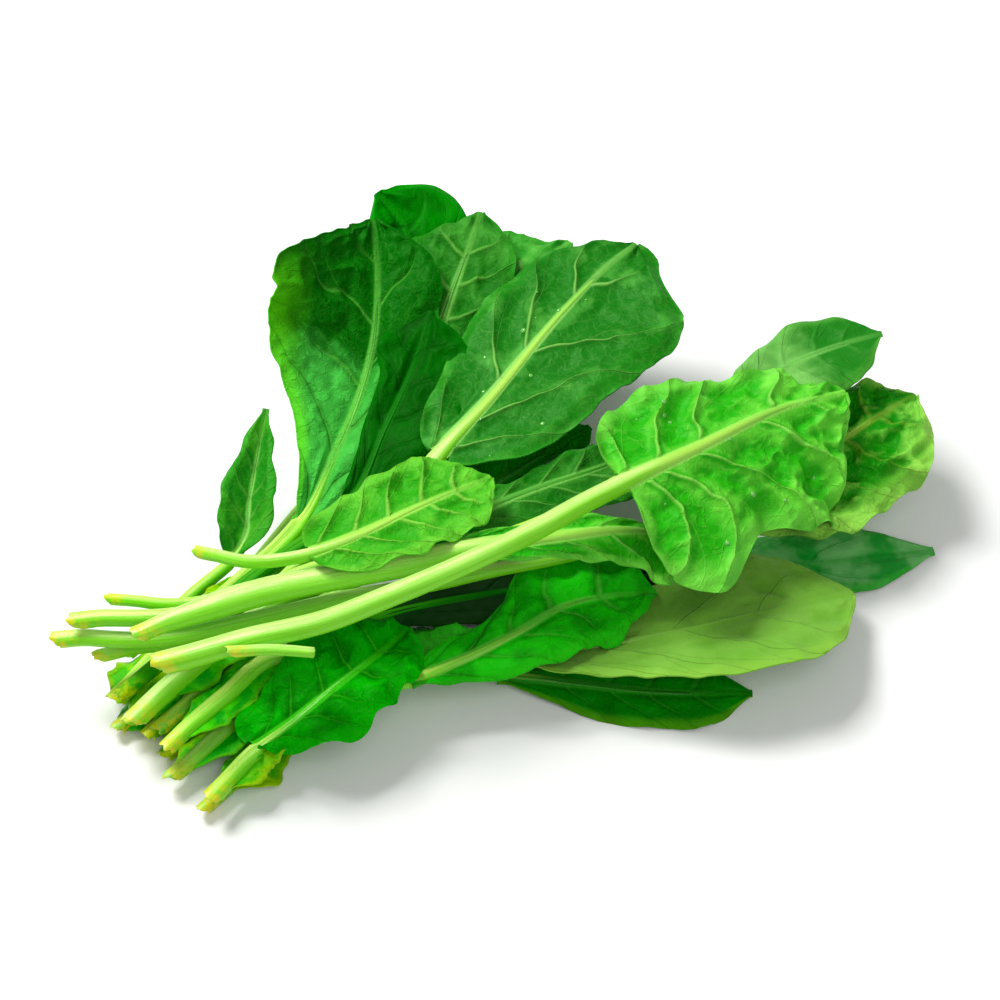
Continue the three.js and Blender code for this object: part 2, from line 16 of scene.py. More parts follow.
import bpy
import numpy as np
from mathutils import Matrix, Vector

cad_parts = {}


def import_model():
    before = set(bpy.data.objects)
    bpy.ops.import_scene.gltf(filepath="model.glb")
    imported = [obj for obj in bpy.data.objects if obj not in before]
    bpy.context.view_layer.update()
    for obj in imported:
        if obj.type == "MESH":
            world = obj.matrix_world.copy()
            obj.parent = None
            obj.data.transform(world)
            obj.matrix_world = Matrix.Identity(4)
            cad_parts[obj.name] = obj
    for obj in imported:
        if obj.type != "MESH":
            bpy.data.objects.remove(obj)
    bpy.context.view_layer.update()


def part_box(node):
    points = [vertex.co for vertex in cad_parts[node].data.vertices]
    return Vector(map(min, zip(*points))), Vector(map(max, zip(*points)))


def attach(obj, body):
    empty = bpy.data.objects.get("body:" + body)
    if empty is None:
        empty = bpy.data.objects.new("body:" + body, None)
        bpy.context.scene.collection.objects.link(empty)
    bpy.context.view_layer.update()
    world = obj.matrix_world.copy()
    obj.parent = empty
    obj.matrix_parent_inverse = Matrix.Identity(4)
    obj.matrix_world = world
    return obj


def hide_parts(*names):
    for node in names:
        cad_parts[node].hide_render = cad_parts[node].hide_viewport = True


LOG = logging.getLogger("spinach")
Array = np.ndarray
Colour = tuple[int, int, int]  # red, green and blue as displayed, 0 to 255
Three = tuple[float, float, float]
Socket = bpy.types.NodeSocket
Piece = bpy.types.Object
Material = bpy.types.Material
MM = 0.001

# ---- The leaves' build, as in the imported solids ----
BLADE_THICKNESS = 0.8
HAIRLINE = 0.45
AIR = 0.5
BLADE_ROWS = 11
BLADE_SHARES = np.array([0.0, 0.26, 0.52, 0.78, 1.0])
JOIN_ROW = 10
PETIOLE_STEP = 22
PETIOLE_TAPER = 0.85
MIDRIB_END = 0.9
CUT_SLANT = 1.2
LOBE_REACH = 0.4
TIP_PULL = 0.35

# ---- The heap's height map and how a leaf gives way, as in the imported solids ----
CELL = 0.6
MAP_LOW = (-185, -150)
MAP_HIGH = (185, 170)
LEAST_COSINE = 0.35
QUAD_SAMPLES = 6
STALK_SHARES = 12
SPINE_SHARE = 0.6
SPINE_PASSES = 24
BLADE_PASSES = 10

# ---- The fine meshes ----
SHEET = 0.5  # a fine blade's thickness
CENTRE_BAND = 0.1  # share of a half blade's columns that lie under the midrib
STALK_SIDES = 28
STALK_RING_STEP = 2.2
RIB_TIP = 0.5
STEP_TABLE = 400  # entries for reading blade_along backwards
VEIN_SLANT = 0.8  # how much nearer a slanting vein is than its place along the blade tells
BLADE_SHARP = 70  # degrees between two faces past which their edge stays sharp
FINE_MARGIN = 0.5  # least flesh beside the midrib

# ---- What each seeded draw starts from, to which the leaf's number is added ----
FLESH_DRAW = 100
SWAY_DRAW = 300
TEAR_DRAW = 500
WING_DRAW = 700


class Side(Enum):
    """A half of a blade, seen from the stalk with the upper side up."""

    LEFT = 1
    RIGHT = -1


class Face(Enum):
    """Which face of a blade looks up as it lies."""

    UPPER = "upper"
    UNDER = "under"


class Slot(Enum):
    """The record's material slots."""

    STALK = "stalk"
    DARK = "dark leaf"
    GREEN = "green leaf"
    PALE = "pale leaf"


def srgb(red: int, green: int, blue: int) -> tuple[float, ...]:
    """Turns a display colour of 0 to 255 into a linear one.

    Args:
        red: Red, 0 to 255.
        green: Green, 0 to 255.
        blue: Blue, 0 to 255.

    Returns:
        The linear colour with full alpha.
    """
    shown = [value / 255 for value in (red, green, blue)]
    linear = [v / 12.92 if v <= 0.04045 else ((v + 0.055) / 1.055) ** 2.4 for v in shown]
    return (*linear, 1.0)


@dataclass(frozen=True)
class LeafFinish:
    """The colours and gloss of a blade's two faces, each with a darker colour for dark patches and for
    painted shade. vein_width is in millimetres, and edge_from is the share of the width where the edge
    colour starts; on the cupped leaf the edge is a painted backlit glow on the left margin. The other
    numbers say how strongly each thing shows: veins, net, patches (blotch), painted shade in hollows,
    shine, the edge, painted shade toward the tip, crinkles with painted shade in their creases, painted
    shade beside veins and a painted shadow over the base."""

    name: str
    slot: Slot
    upper: Colour
    upper_shade: Colour
    under: Colour
    under_shade: Colour
    vein: Colour
    edge: Colour
    vein_width: float = 0.7
    vein_strength: float = 0.8
    net: float = 0.06
    blotch: float = 0.45
    hollow: float = 0.75
    gloss: float = 0.44
    shine: float = 0.2
    edge_from: float = 0.95
    edge_strength: float = 0.5
    left_edge_only: bool = False
    tip_dark: float = 0.0
    crinkle: float = 0.3
    flank: float = 0.3
    dusk: float = 0.0


@dataclass(frozen=True)
class StalkFinish:
    """The colours of a stalk, from its cut end to its midrib. Its pale colour shows on its lit top as
    a painted highlight, and its streak colour in its streaks and, as painted shade, down its sides.
    aged is how far back from the cut it is bruised, in millimetres, and shine how strongly it reflects."""

    name: str
    cut: Colour
    heart: Colour
    pale: Colour
    streak: Colour
    midrib: Colour
    tip: Colour
    gloss: float = 0.36
    aged: float = 11.0
    shine: float = 0.6


PALE_STALK = StalkFinish(
    "pale stalk", (200, 206, 30), (214, 218, 110), (208, 240, 136), (116, 212, 0), (164, 220, 80),
    (124, 198, 66),
)
GREEN_STALK = StalkFinish(
    "green stalk", (204, 210, 16), (210, 216, 80), (200, 240, 100), (104, 208, 0), (120, 196, 56),
    (60, 156, 34),
)
DEEP_STALK = StalkFinish(
    "deep green stalk", (196, 196, 10), (200, 204, 70), (166, 218, 84), (66, 170, 0), (30, 134, 16),
    (4, 112, 4), aged=16.0,
)
DARK_STALK = StalkFinish(
    "dark stalk", (160, 180, 10), (180, 200, 70), (60, 160, 10), (30, 132, 0), (4, 104, 2), (0, 90, 0),
    shine=0.05,
)
SUNKEN_STALK = replace(GREEN_STALK, name="sunken midrib", midrib=(84, 180, 50), tip=(8, 104, 6), shine=0.2)
MUTED_STALK = replace(GREEN_STALK, name="muted midrib", midrib=(78, 162, 50), tip=(40, 126, 26), shine=0.3)
VIVID_STALK = replace(GREEN_STALK, name="vivid midrib", midrib=(70, 190, 14), tip=(8, 156, 2))
SILVERY_STALK = replace(GREEN_STALK, name="silvery midrib", midrib=(104, 180, 76), tip=(40, 130, 26))
FAINT_STALK = StalkFinish(
    "faint stalk", (190, 198, 30), (200, 208, 90), (176, 220, 106), (96, 180, 4), (104, 164, 44),
    (100, 160, 40),
)


@dataclass(frozen=True)
class Habit:
    """How a leaf grew: its finishes, and the relief of its flesh in millimetres. step is the size of
    its faces, pucker swells between veins, crumple folds at random, frill waves the margin, droop
    lowers it, and ridge raises veins. rib_fall and cut_share shape its midrib and its cut end.
    pairs and sweep fan out even side veins where left_veins and right_veins give none."""

    finish: LeafFinish
    stem: StalkFinish = PALE_STALK
    face: Face = Face.UPPER
    step: float = 1.1
    pucker: float = 1.0
    crumple: float = 0.9
    frill: float = 0.8
    droop: float = 1.5
    ridge: float = 0.45
    ridge_width: float = 1.0
    rib_fall: float = 0.5
    cut_share: float = 0.85
    wet: bool = False
    pairs: int = 6
    sweep: float = 0.24
    left_veins: tuple[Three, ...] = ()
    right_veins: tuple[Three, ...] = ()


@dataclass(frozen=True)
class Half:
    """One half of a blade: its width at seven places from base to tip, in millimetres, and its rise
    off the flat and further curl at the base, the middle and the tip, in degrees."""

    wide: tuple[float, ...]
    rise: Three = (5, 3, 0)
    curl: Three = (5, 5, 5)


# The cupped leaf: its bright left margin is painted backlight, and its top darkens toward the tip as painted
# shade.
CUP = LeafFinish(
    "cupped leaf", Slot.DARK, (76, 200, 72), (0, 96, 0), (70, 160, 50), (20, 124, 14), (92, 184, 60),
    (90, 206, 10), blotch=0.3, gloss=0.5, shine=0.1, edge_from=0.85, edge_strength=0.7, left_edge_only=True,
    tip_dark=0.95, hollow=0.6, vein_strength=0.4, crinkle=0.5,
)
GLOSSY = LeafFinish(
    "glossy leaf", Slot.DARK, (0, 92, 0), (0, 66, 0), (50, 140, 34), (10, 110, 6), (6, 110, 4), (0, 110, 0),
    gloss=0.5, shine=0.06, vein_strength=0.1,
)
CROWNED = LeafFinish(
    "crown leaf", Slot.DARK, (0, 126, 0), (0, 84, 0), (30, 140, 20), (6, 110, 4), (20, 150, 14),
    (0, 150, 0), gloss=0.5, vein_strength=0.35, shine=0.05, blotch=0.5, hollow=0.7, crinkle=0.4,
)
LUSH = LeafFinish(
    "lush leaf", Slot.DARK, (24, 204, 10), (0, 122, 0), (60, 146, 40), (20, 116, 10), (96, 196, 60),
    (40, 180, 14), gloss=0.46, vein_strength=0.35, shine=0.1, blotch=0.5, hollow=0.6, crinkle=0.4,
)
DEEP = LeafFinish(
    "deep green leaf", Slot.DARK, (4, 140, 4), (0, 104, 0), (60, 146, 40), (20, 116, 10), (50, 160, 34),
    (10, 150, 4), vein_strength=0.45, shine=0.1, blotch=0.35, hollow=0.6,
)
KEELED = replace(DEEP, name="keeled leaf", edge=(110, 160, 0), edge_from=0.98, edge_strength=0.35)
VIVID = LeafFinish(
    "vivid leaf", Slot.DARK, (0, 172, 0), (0, 112, 0), (60, 166, 40), (20, 126, 10), (60, 196, 20),
    (8, 186, 0), vein_width=0.4, vein_strength=0.35, shine=0.06, blotch=0.5, hollow=0.75, crinkle=0.6,
)
# The bluish leaf lies under the stalks; its base is darkened toward near black as a painted shadow.
BLUISH = LeafFinish(
    "bluish leaf", Slot.DARK, (112, 188, 106), (24, 154, 46), (60, 140, 60), (30, 120, 40), (50, 160, 56),
    (50, 160, 30), net=0.0, blotch=0.9, vein_strength=0.05, shine=0.12, crinkle=0.1, dusk=0.93,
)
SOFT = LeafFinish(
    "soft green leaf", Slot.GREEN, (20, 126, 14), (2, 96, 2), (82, 172, 60), (26, 134, 16), (142, 206, 96),
    (30, 140, 16), blotch=0.6, shine=0.2, vein_strength=0.6, crinkle=0.25,
)
OVAL_LEAF = replace(
    SOFT, name="oval leaf", tip_dark=0.25, under=(80, 168, 58), under_shade=(8, 108, 4), blotch=0.7,
    hollow=0.9, flank=0.4, shine=0.3,
)
SPEAR_LEAF = replace(SOFT, name="spear leaf", under=(74, 172, 34), vein_strength=0.25, blotch=0.8)
BEHIND_LEAF = replace(SOFT, name="shaded leaf", vein_strength=0.3, blotch=0.8)
MEADOW = LeafFinish(
    "meadow leaf", Slot.GREEN, (20, 126, 14), (2, 96, 2), (58, 142, 38), (10, 102, 4), (112, 184, 74),
    (30, 140, 16), blotch=0.6, shine=0.15, vein_strength=0.5, crinkle=0.4,
)
SILVERY = LeafFinish(
    "silvery leaf", Slot.GREEN, (20, 126, 14), (2, 96, 2), (124, 194, 92), (22, 116, 16), (110, 184, 80),
    (90, 176, 60), net=0.0, blotch=0.25, shine=0.2, vein_strength=0.08, crinkle=0.15, flank=0.05,
    hollow=0.4, tip_dark=0.85,
)
RAGGED = LeafFinish(
    "ragged leaf", Slot.DARK, (76, 214, 0), (0, 160, 0), (100, 190, 4), (20, 130, 0), (120, 190, 40),
    (120, 180, 10), net=0.0, blotch=0.8, shine=0.15, vein_strength=0.0, crinkle=0.5, flank=0.0,
    edge_from=0.9, edge_strength=0.4,
)
OLIVE = LeafFinish(
    "olive leaf", Slot.PALE, (160, 216, 0), (64, 176, 0), (160, 216, 0), (64, 176, 0), (150, 190, 30),
    (150, 170, 10), net=0.0, blotch=0.6, shine=0.15, vein_strength=0.0, crinkle=0.5, flank=0.0,
    edge_from=0.9, edge_strength=0.5,
)
BRIGHT = LeafFinish(
    "bright green leaf", Slot.GREEN, (40, 150, 16), (10, 116, 4), (122, 224, 66), (32, 166, 6),
    (160, 226, 96), (112, 202, 66), hollow=0.85, blotch=0.35, shine=0.26, gloss=0.4, vein_strength=0.5,
    crinkle=0.45, flank=0.5,
)
LIME = LeafFinish(
    "lime leaf", Slot.PALE, (70, 160, 30), (40, 130, 10), (100, 196, 46), (42, 156, 12), (160, 220, 84),
    (110, 200, 50), shine=0.2, hollow=0.9, vein_strength=0.5, crinkle=0.6, flank=0.5,
)
YELLOWED = LeafFinish(
    "yellow-green leaf", Slot.PALE, (70, 140, 24), (50, 120, 14), (118, 174, 62), (96, 160, 40),
    (112, 170, 52), (138, 194, 60), net=0.0, shine=0.2, blotch=0.35, vein_width=0.3, vein_strength=0.12,
    hollow=0.35, crinkle=0.12, flank=0.05,
)
BLOTCHED = LeafFinish(
    "blotched leaf", Slot.GREEN, (40, 150, 16), (10, 116, 4), (134, 212, 72), (10, 136, 0), (150, 180, 60),
    (158, 212, 84), blotch=0.8, hollow=0.9, shine=0.2, vein_strength=0.35, edge_from=0.84, crinkle=0.6,
)

HIDDEN = Habit(CROWNED, DEEP_STALK, step=1.6)
KEEL = Habit(KEELED, DEEP_STALK, pucker=0.3, crumple=0.7, frill=0.4)
TONGUE = Habit(BLUISH, DARK_STALK, step=1.2, pucker=0.2, crumple=0.5, frill=0.4, ridge=0.12)
PADDLE = Habit(
    YELLOWED, FAINT_STALK, Face.UNDER, step=0.9, pucker=0.2, crumple=0.7, frill=0.4, ridge=0.1, pairs=5,
    sweep=0.4, droop=1.0, rib_fall=0.3,
)
CROWN = Habit(CROWNED, DEEP_STALK, pucker=0.9, crumple=1.6, rib_fall=0.3)
BEHIND = Habit(MEADOW, MUTED_STALK, Face.UNDER, pucker=1.4, crumple=1.5, rib_fall=0.4)
SHADED = Habit(BEHIND_LEAF, MUTED_STALK, Face.UNDER, pucker=1.4, crumple=1.8, rib_fall=0.35)
SPEAR = Habit(SPEAR_LEAF, MUTED_STALK, Face.UNDER, pucker=0.5, crumple=0.8, rib_fall=0.35)
BROAD = Habit(LUSH, GREEN_STALK, pucker=1.0, crumple=1.4, rib_fall=0.4)
LOW = Habit(DEEP, DEEP_STALK, pucker=1.0, crumple=1.0)
RUFFLED = Habit(VIVID, VIVID_STALK, step=0.8, pucker=1.4, crumple=2.2, frill=1.4, rib_fall=0.22)
CUPPED = Habit(
    CUP, SUNKEN_STALK, step=0.8, pucker=1.8, crumple=1.4, frill=0.3, rib_fall=0.2, ridge=0.5,
    left_veins=(
        (0.05, 0.1, 0.2), (0.22, 0.34, 0.5), (0.42, 0.5, 0.58), (0.6, 0.72, 0.82), (0.78, 0.88, 0.97),
    ),
    right_veins=(
        (0.08, 0.16, 0.28), (0.3, 0.4, 0.52), (0.5, 0.6, 0.7), (0.66, 0.77, 0.88), (0.82, 0.9, 0.98),
    ),
)
COLLAR = Habit(GLOSSY, DARK_STALK, pucker=0.6, crumple=1.8, ridge=0.1, rib_fall=0.2)
OVAL = Habit(
    OVAL_LEAF, PALE_STALK, Face.UNDER, step=0.75, pucker=1.6, crumple=0.7, frill=0.7, ridge=0.8,
    ridge_width=1.3, droop=4.0, rib_fall=0.45, wet=True,
    left_veins=((0.02, 0.12, 0.3), (0.3, 0.42, 0.6), (0.42, 0.58, 0.8), (0.66, 0.8, 0.94)),
    right_veins=((0.04, 0.14, 0.3), (0.13, 0.34, 0.56), (0.42, 0.58, 0.8), (0.72, 0.84, 0.97)),
)
MOTTLED = Habit(
    BLOTCHED, PALE_STALK, Face.UNDER, step=0.8, pucker=2.2, crumple=2.6, frill=1.6, ridge=0.6,
    ridge_width=1.3, rib_fall=0.3, cut_share=1.0,
)
FOLDED = Habit(
    SILVERY, SILVERY_STALK, Face.UNDER, pucker=0.3, crumple=0.9, ridge=0.1, rib_fall=0.2, cut_share=1.0,
)
BAND = Habit(BRIGHT, PALE_STALK, Face.UNDER, pucker=1.2, crumple=0.8, rib_fall=0.6, cut_share=0.6)
HERO = Habit(
    BRIGHT, PALE_STALK, Face.UNDER, step=0.6, pucker=3.0, crumple=2.2, frill=1.2, ridge=1.1, ridge_width=1.4,
    rib_fall=0.65, cut_share=1.0, wet=True,
    left_veins=(
        (0.03, 0.07, 0.12), (0.156, 0.27, 0.42), (0.32, 0.43, 0.56), (0.64, 0.68, 0.72), (0.81, 0.86, 0.92),
    ),
    right_veins=(
        (0.08, 0.13, 0.06), (0.135, 0.27, 0.17), (0.28, 0.49, 0.57), (0.56, 0.75, 0.79), (0.77, 0.9, 0.95),
    ),
)
SMALL = Habit(
    LIME, PALE_STALK, Face.UNDER, step=0.62, pucker=1.6, crumple=1.7, frill=1.0, ridge=0.6, ridge_width=1.1,
    sweep=0.26, rib_fall=0.6,
)


@dataclass(frozen=True)
class Leaf:
    """One leaf of the bunch, in millimetres. blade is its blade's length, 0 for a bare stalk. spine
    is the line of stalk and midrib from the cut end to the tip. lobe is how far the base hangs
    back, roll turns the blade about its midrib, and wave is the margin's height, count and start."""

    name: str
    spine: tuple[Three, ...]
    cut: float
    blade: float = 0
    habit: Habit | None = None
    left: Half | None = None
    right: Half | None = None
    lobe: float = 0.0
    wave: Three = (1, 2, 0)
    roll: Three = (0, 0, 0)

    def half(self, side: Side) -> Half:
        """Gives the blade's half on one side."""
        return self.left if side is Side.LEFT else self.right


# The leaves, in the order in which they are laid.
LEAVES = (
    Leaf(
        "leaf_01", cut=5.5, blade=88, lobe=0.1, wave=(0.8, 2, 0), habit=HIDDEN,
        spine=((-114, -57, 3), (-104, -44, 3), (-93, -30, 3), (-69, 10, 3), (-45, 53, 3), (-15, 93, 2),
            (17, 126, 2)),
        left=Half((5, 16, 25, 27, 22, 13, 3), (0, 0, 0), (0, 0, 0)),
        right=Half((5, 16, 24, 27, 22, 13, 3), (0, 0, 0), (0, 0, 0)),
    ),
    Leaf(
        "leaf_02", cut=5.5, blade=84, wave=(0.5, 1, 0), habit=KEEL,
        spine=((-94, -114, 3), (-76, -91, 3), (-60, -71, 3), (-26, -60, 3), (10, -63, 3), (46, -67, 2),
            (66, -68, 2), (83, -68, 2)),
        left=Half((2, 9, 16, 18, 14, 8, 3), (0, 0, 0), (0, 0, 0)),
        right=Half((2, 7, 12, 14, 13, 8, 3), (0, 0, 0), (0, 0, 0)),
    ),
    # This leaf's long blade runs under the stalks to fill a gap that lies in shade, and its base there is
    # painted as deep shadow.
    Leaf(
        "leaf_03", cut=6, blade=200, wave=(0.6, 1, 2), habit=TONGUE,
        spine=((-108, -94, 3), (-90, -72, 3), (-72, -55, 4), (-34, -37, 5), (7, -27, 5), (68, -19, 4),
            (113, -13, 2), (149, -8, 2)),
        left=Half((4, 13, 13, 11, 13, 12, 4), (8, 4, 0)), right=Half((4, 12, 12, 10, 12, 12, 4), (8, 4, 0)),
    ),
    Leaf(
        "leaf_04", cut=6.5, blade=132, wave=(0.8, 1, 0), roll=(-12, -14, -8), habit=PADDLE,
        spine=((-105, -104, 6), (-86, -83, 7), (-69, -66, 8), (-26, -64, 10), (7, -60, 12), (43, -56, 15),
            (82, -47, 17), (118, -33, 11)),
        left=Half((2, 11, 20, 25, 26, 22, 10), (8, 4, 0)), right=Half((2, 11, 21, 27, 26, 20, 9), (8, 4, 0)),
    ),
    Leaf(
        "leaf_05", cut=6, blade=78, habit=CROWN,
        spine=((-124, -83, 3), (-104, -60, 3), (-87, -39, 4), (-60, 0, 9), (-42, 53, 22), (-33, 84, 36),
            (-34, 103, 48), (-44, 113, 56)),
        left=Half((4, 14, 20, 23, 22, 15, 4)), right=Half((4, 14, 20, 22, 22, 17, 6)),
    ),
    Leaf(
        "leaf_06", cut=6, blade=94, wave=(1.2, 2, 0), habit=SHADED,
        spine=((-114, -86, 4), (-96, -64, 4), (-77, -43, 5), (-44, 1, 11), (-23, 35, 21), (-2, 66, 37),
            (14, 88, 45), (25, 98, 46)),
        left=Half((4, 14, 22, 25, 23, 16, 5)), right=Half((4, 14, 24, 27, 24, 15, 5)),
    ),
    Leaf(
        "leaf_07", cut=5, blade=56, wave=(0.5, 1, 0), habit=SPEAR,
        spine=((-123, -57, 8), (-113, -45, 9), (-104, -32, 8), (-87, -16, 15), (-85, 0, 20), (-82, 20, 28),
            (-80, 29, 34)),
        left=Half((8, 12, 12, 9, 6, 4, 2), (45, 45, 45)), right=Half((3, 10, 12, 9, 6, 4, 2), (45, 45, 45)),
    ),
    Leaf(
        "leaf_08", cut=6, blade=78, habit=BEHIND,
        spine=((-120, -85, 9), (-101, -62, 9), (-83, -41, 10), (-54, -9, 18), (-29, 37, 29), (-18, 71, 42),
            (-10, 95, 50), (-7, 106, 53)),
        left=Half((4, 14, 20, 22, 20, 13, 4)), right=Half((4, 14, 20, 21, 17, 12, 4)),
    ),
    Leaf(
        "leaf_09", cut=6.5, blade=90, wave=(1.5, 2, 0), habit=BROAD,
        spine=((-106, -98, 14), (-89, -78, 14), (-73, -63, 14), (-32, -74, 17), (-13, -66, 17), (7, -55, 19),
            (21, -45, 19), (36, -40, 18), (52, -37, 16)),
        left=Half((4, 9, 12, 20, 27, 20, 6)), right=Half((3, 10, 16, 19, 18, 12, 4)),
    ),
    Leaf(
        "leaf_10", cut=7, blade=66, lobe=0.4, wave=(1.5, 3, 0), habit=RUFFLED,
        spine=((-91, -114, 10), (-79, -97, 10), (-66, -89, 16), (-53, -79, 20), (-39, -66, 21),
            (-30, -54, 19)),
        left=Half((11, 15, 20, 25, 26, 20, 6)), right=Half((2, 11, 20, 17, 15, 11, 4)),
    ),
    Leaf(
        "leaf_11", cut=7.5, blade=120, habit=CUPPED,
        spine=((-125, -76, 9), (-109, -56, 10), (-91, -35, 12), (-66, -9, 20), (-58, 10, 26), (-49, 34, 33),
            (-44, 56, 40), (-43, 77, 48), (-45, 100, 55)),
        left=Half((4, 13, 33, 41, 38, 27, 9), (8, 14, 16), (20, 40, 50)),
        right=Half((4, 12, 19, 22, 21, 17, 8)),
    ),
    Leaf(
        "leaf_12", cut=6.5, blade=82, habit=LOW,
        spine=((-110, -88, 9), (-92, -67, 9), (-75, -50, 10), (-40, -25, 16), (-17, -7, 20), (7, 10, 25),
            (31, 26, 28)),
        left=Half((3, 12, 18, 20, 18, 12, 3)), right=Half((3, 10, 13, 14, 14, 10, 4)),
    ),
    Leaf(
        "leaf_13", cut=6, blade=84, habit=COLLAR,
        spine=((-122, -79, 16), (-104, -58, 16), (-87, -38, 18), (-50, -9, 30), (-39, 17, 37), (-29, 44, 42),
            (-24, 63, 47)),
        left=Half((3, 6, 8, 9, 13, 12, 4)), right=Half((3, 12, 19, 22, 19, 13, 4)),
    ),
    Leaf(
        "leaf_14", cut=8, blade=114, lobe=0.1, wave=(1.2, 2, 0), habit=OVAL,
        spine=((-117, -89, 16), (-98, -66, 16), (-78, -48, 18), (-41, -28, 30), (-20, 3, 40), (-5, 22, 44),
            (9, 43, 46), (23, 63, 48), (37, 82, 49), (48, 93, 50)),
        left=Half((10, 19, 25, 25, 22, 17, 8)), right=Half((13, 26, 33, 36, 35, 29, 13)),
    ),
    Leaf(
        "stub_01", cut=5,
        spine=((-130, -67, 21), (-113, -64, 22), (-92, -62, 23)),
    ),
    Leaf(
        "leaf_15", cut=4.5, blade=78, habit=BEHIND,
        spine=((-128, -45, 23), (-101, -50, 26), (-59, -40, 34), (-23, -29, 37), (7, -13, 38), (34, 0, 37),
            (51, 14, 31)),
        left=Half((3, 7, 9, 10, 9, 7, 3)), right=Half((3, 10, 14, 16, 15, 11, 4)),
    ),
    Leaf(
        "leaf_16", cut=5.5, blade=92, wave=(1.8, 2, 0), habit=MOTTLED,
        spine=((-143, -64, 26), (-100, -64, 29), (-46, -49, 30), (20, -29, 25), (67, -11, 26), (102, 9, 28),
            (131, 29, 31), (144, 40, 29)),
        left=Half((4, 14, 22, 25, 23, 16, 5)), right=Half((4, 20, 31, 32, 26, 18, 6), (0, -8, -8)),
    ),
    Leaf(
        "leaf_17", cut=5.5, blade=62, habit=FOLDED,
        spine=((-137, -61, 31), (-100, -60, 34), (-45, -47, 39), (15, -29, 44), (63, 6, 47), (100, 43, 41),
            (121, 51, 44), (132, 53, 46)),
        left=Half((4, 10, 13, 14, 12, 8, 3)), right=Half((4, 12, 17, 19, 16, 10, 3)),
    ),
    Leaf(
        "leaf_18", cut=9.5, blade=88, habit=BAND,
        spine=((-115, -71, 38), (-83, -61, 43), (-53, -55, 46), (-26, -48, 47), (-3, -43, 48), (19, -38, 46),
            (46, -28, 37), (65, -26, 27)),
        left=Half((4, 6, 8, 7, 4, 3, 2)), right=Half((3, 6, 8, 11, 15, 18, 9), (0, -10, -10)),
    ),
    Leaf(
        "leaf_19", cut=7.5, blade=92, lobe=0.3, wave=(1.8, 3, 0), habit=HERO,
        spine=((-106, -86, 43), (-81, -81, 47), (-56, -75, 50), (-31, -65, 53), (-6, -54, 57), (13, -42, 57),
            (32, -28, 56), (66, -4, 52), (93, 15, 49), (117, 27, 45)),
        left=Half((13, 29, 27, 22, 16, 11, 4)),
        right=Half((30, 46, 34, 42, 38, 28, 14), (-14, -20, -20), (-10, -15, -20)),
    ),
    Leaf(
        "leaf_20", cut=5, blade=68, lobe=0.3, wave=(1.2, 2, 0), habit=SMALL,
        spine=((-98, -38, 39), (-80, -49, 47), (-64, -50, 51), (-46, -43, 53), (-29, -32, 52), (-3, -14, 48)),
        left=Half((9, 15, 18, 18, 17, 13, 5)), right=Half((5, 13, 17, 18, 16, 12, 5)),
    ),
    Leaf(
        "stub_02", cut=4,
        spine=((-84, -87, 50), (-71, -86, 49), (-58, -86, 47)),
    ),
)


def mix(a: Array, b: Array, share: Array) -> Array:
    """Goes from a to b by a share."""
    return a + (b - a) * share


def ease(low: float, high: float, value: Array) -> Array:
    """Rises smoothly from 0 at low to 1 at high."""
    t = np.clip((value - low) / (high - low), 0, 1)
    return t * t * (3 - 2 * t)


def three_way(values: Three, share: Array) -> Array:
    """Reads values at the base, the middle and the tip at a share of the way."""
    return np.interp(share, (0, 0.5, 1), values)


def smooth(values: Array, share: Array) -> Array:
    """Reads a smooth curve through values at even steps.

    Args:
        values: The values, or rows of values, at even steps.
        share: Shares of the way, 0 to 1.

    Returns:
        The value, or row of values, at each share.
    """
    v = np.asarray(values, float)
    steps = len(v) - 1
    place = np.clip(share, 0, 1) * steps
    i = np.minimum(place.astype(int), steps - 1)
    shape = (-1,) + (1,) * (v.ndim - 1)
    t = (place - i).reshape(shape)
    a, b = v[i], v[i + 1]
    leaving = np.where((i > 0).reshape(shape), (b - v[np.maximum(i - 1, 0)]) / 2, b - a)
    arriving = np.where((i + 2 <= steps).reshape(shape), (v[np.minimum(i + 2, steps)] - a) / 2, b - a)
    fall = 2 * t**3 - 3 * t**2 + 1
    return fall * a + (1 - fall) * b + (t**3 - 2 * t**2 + t) * leaving + (t**3 - t**2) * arriving


class Noise:
    """Smooth seeded noise over the plane, from -1 to 1."""

    SIZE = 64

    def __init__(self, seed: int) -> None:
        """Draws the noise's lattice."""
        self.lattice = np.random.default_rng(seed).uniform(-1, 1, (self.SIZE, self.SIZE))

    def at(self, x: Array, y: Array) -> Array:
        """Reads the noise at places that are a lattice step apart per unit.

        Args:
            x: Places across.
            y: Places up.

        Returns:
            The noise at each place.
        """
        i, j = np.floor(x).astype(int), np.floor(y).astype(int)
        fx, fy = ease(0, 1, x - i), ease(0, 1, y - j)
        corner = [[self.lattice[(j + b) % self.SIZE, (i + a) % self.SIZE] for a in (0, 1)] for b in (0, 1)]
        return mix(mix(corner[0][0], corner[0][1], fx), mix(corner[1][0], corner[1][1], fx), fy)

    def layered(self, x: Array, y: Array, layers: int = 3) -> Array:
        """Adds up layers of the noise, each half as big and twice as fine."""
        total = sum(self.at(x * 2**k + 7.3 * k, y * 2**k - 5.1 * k) / 2**k for k in range(layers))
        return total / (2 - 0.5 ** (layers - 1))


def run_along(points: Array) -> Array:
    """Gives how far along a line of points each one is."""
    return np.concatenate([[0], np.cumsum(np.linalg.norm(np.diff(points, axis=0), axis=1))])


def normals_of(lattice: Array) -> Array:
    """Gives the unit normal at each point of a lattice. It looks up on one laid from left to right."""
    normal = np.cross(np.gradient(lattice, axis=1), np.gradient(lattice, axis=0))
    return normal / np.maximum(np.linalg.norm(normal, axis=2), 1e-9)[..., None]


def quads_of(lattice: Array) -> Array:
    """Gives the four corners of every quad of a lattice of points or numbers, going round."""
    corners = (lattice[:-1, :-1], lattice[:-1, 1:], lattice[1:, 1:], lattice[1:, :-1])
    return np.stack(corners, axis=2).reshape(-1, 4, *lattice.shape[2:])


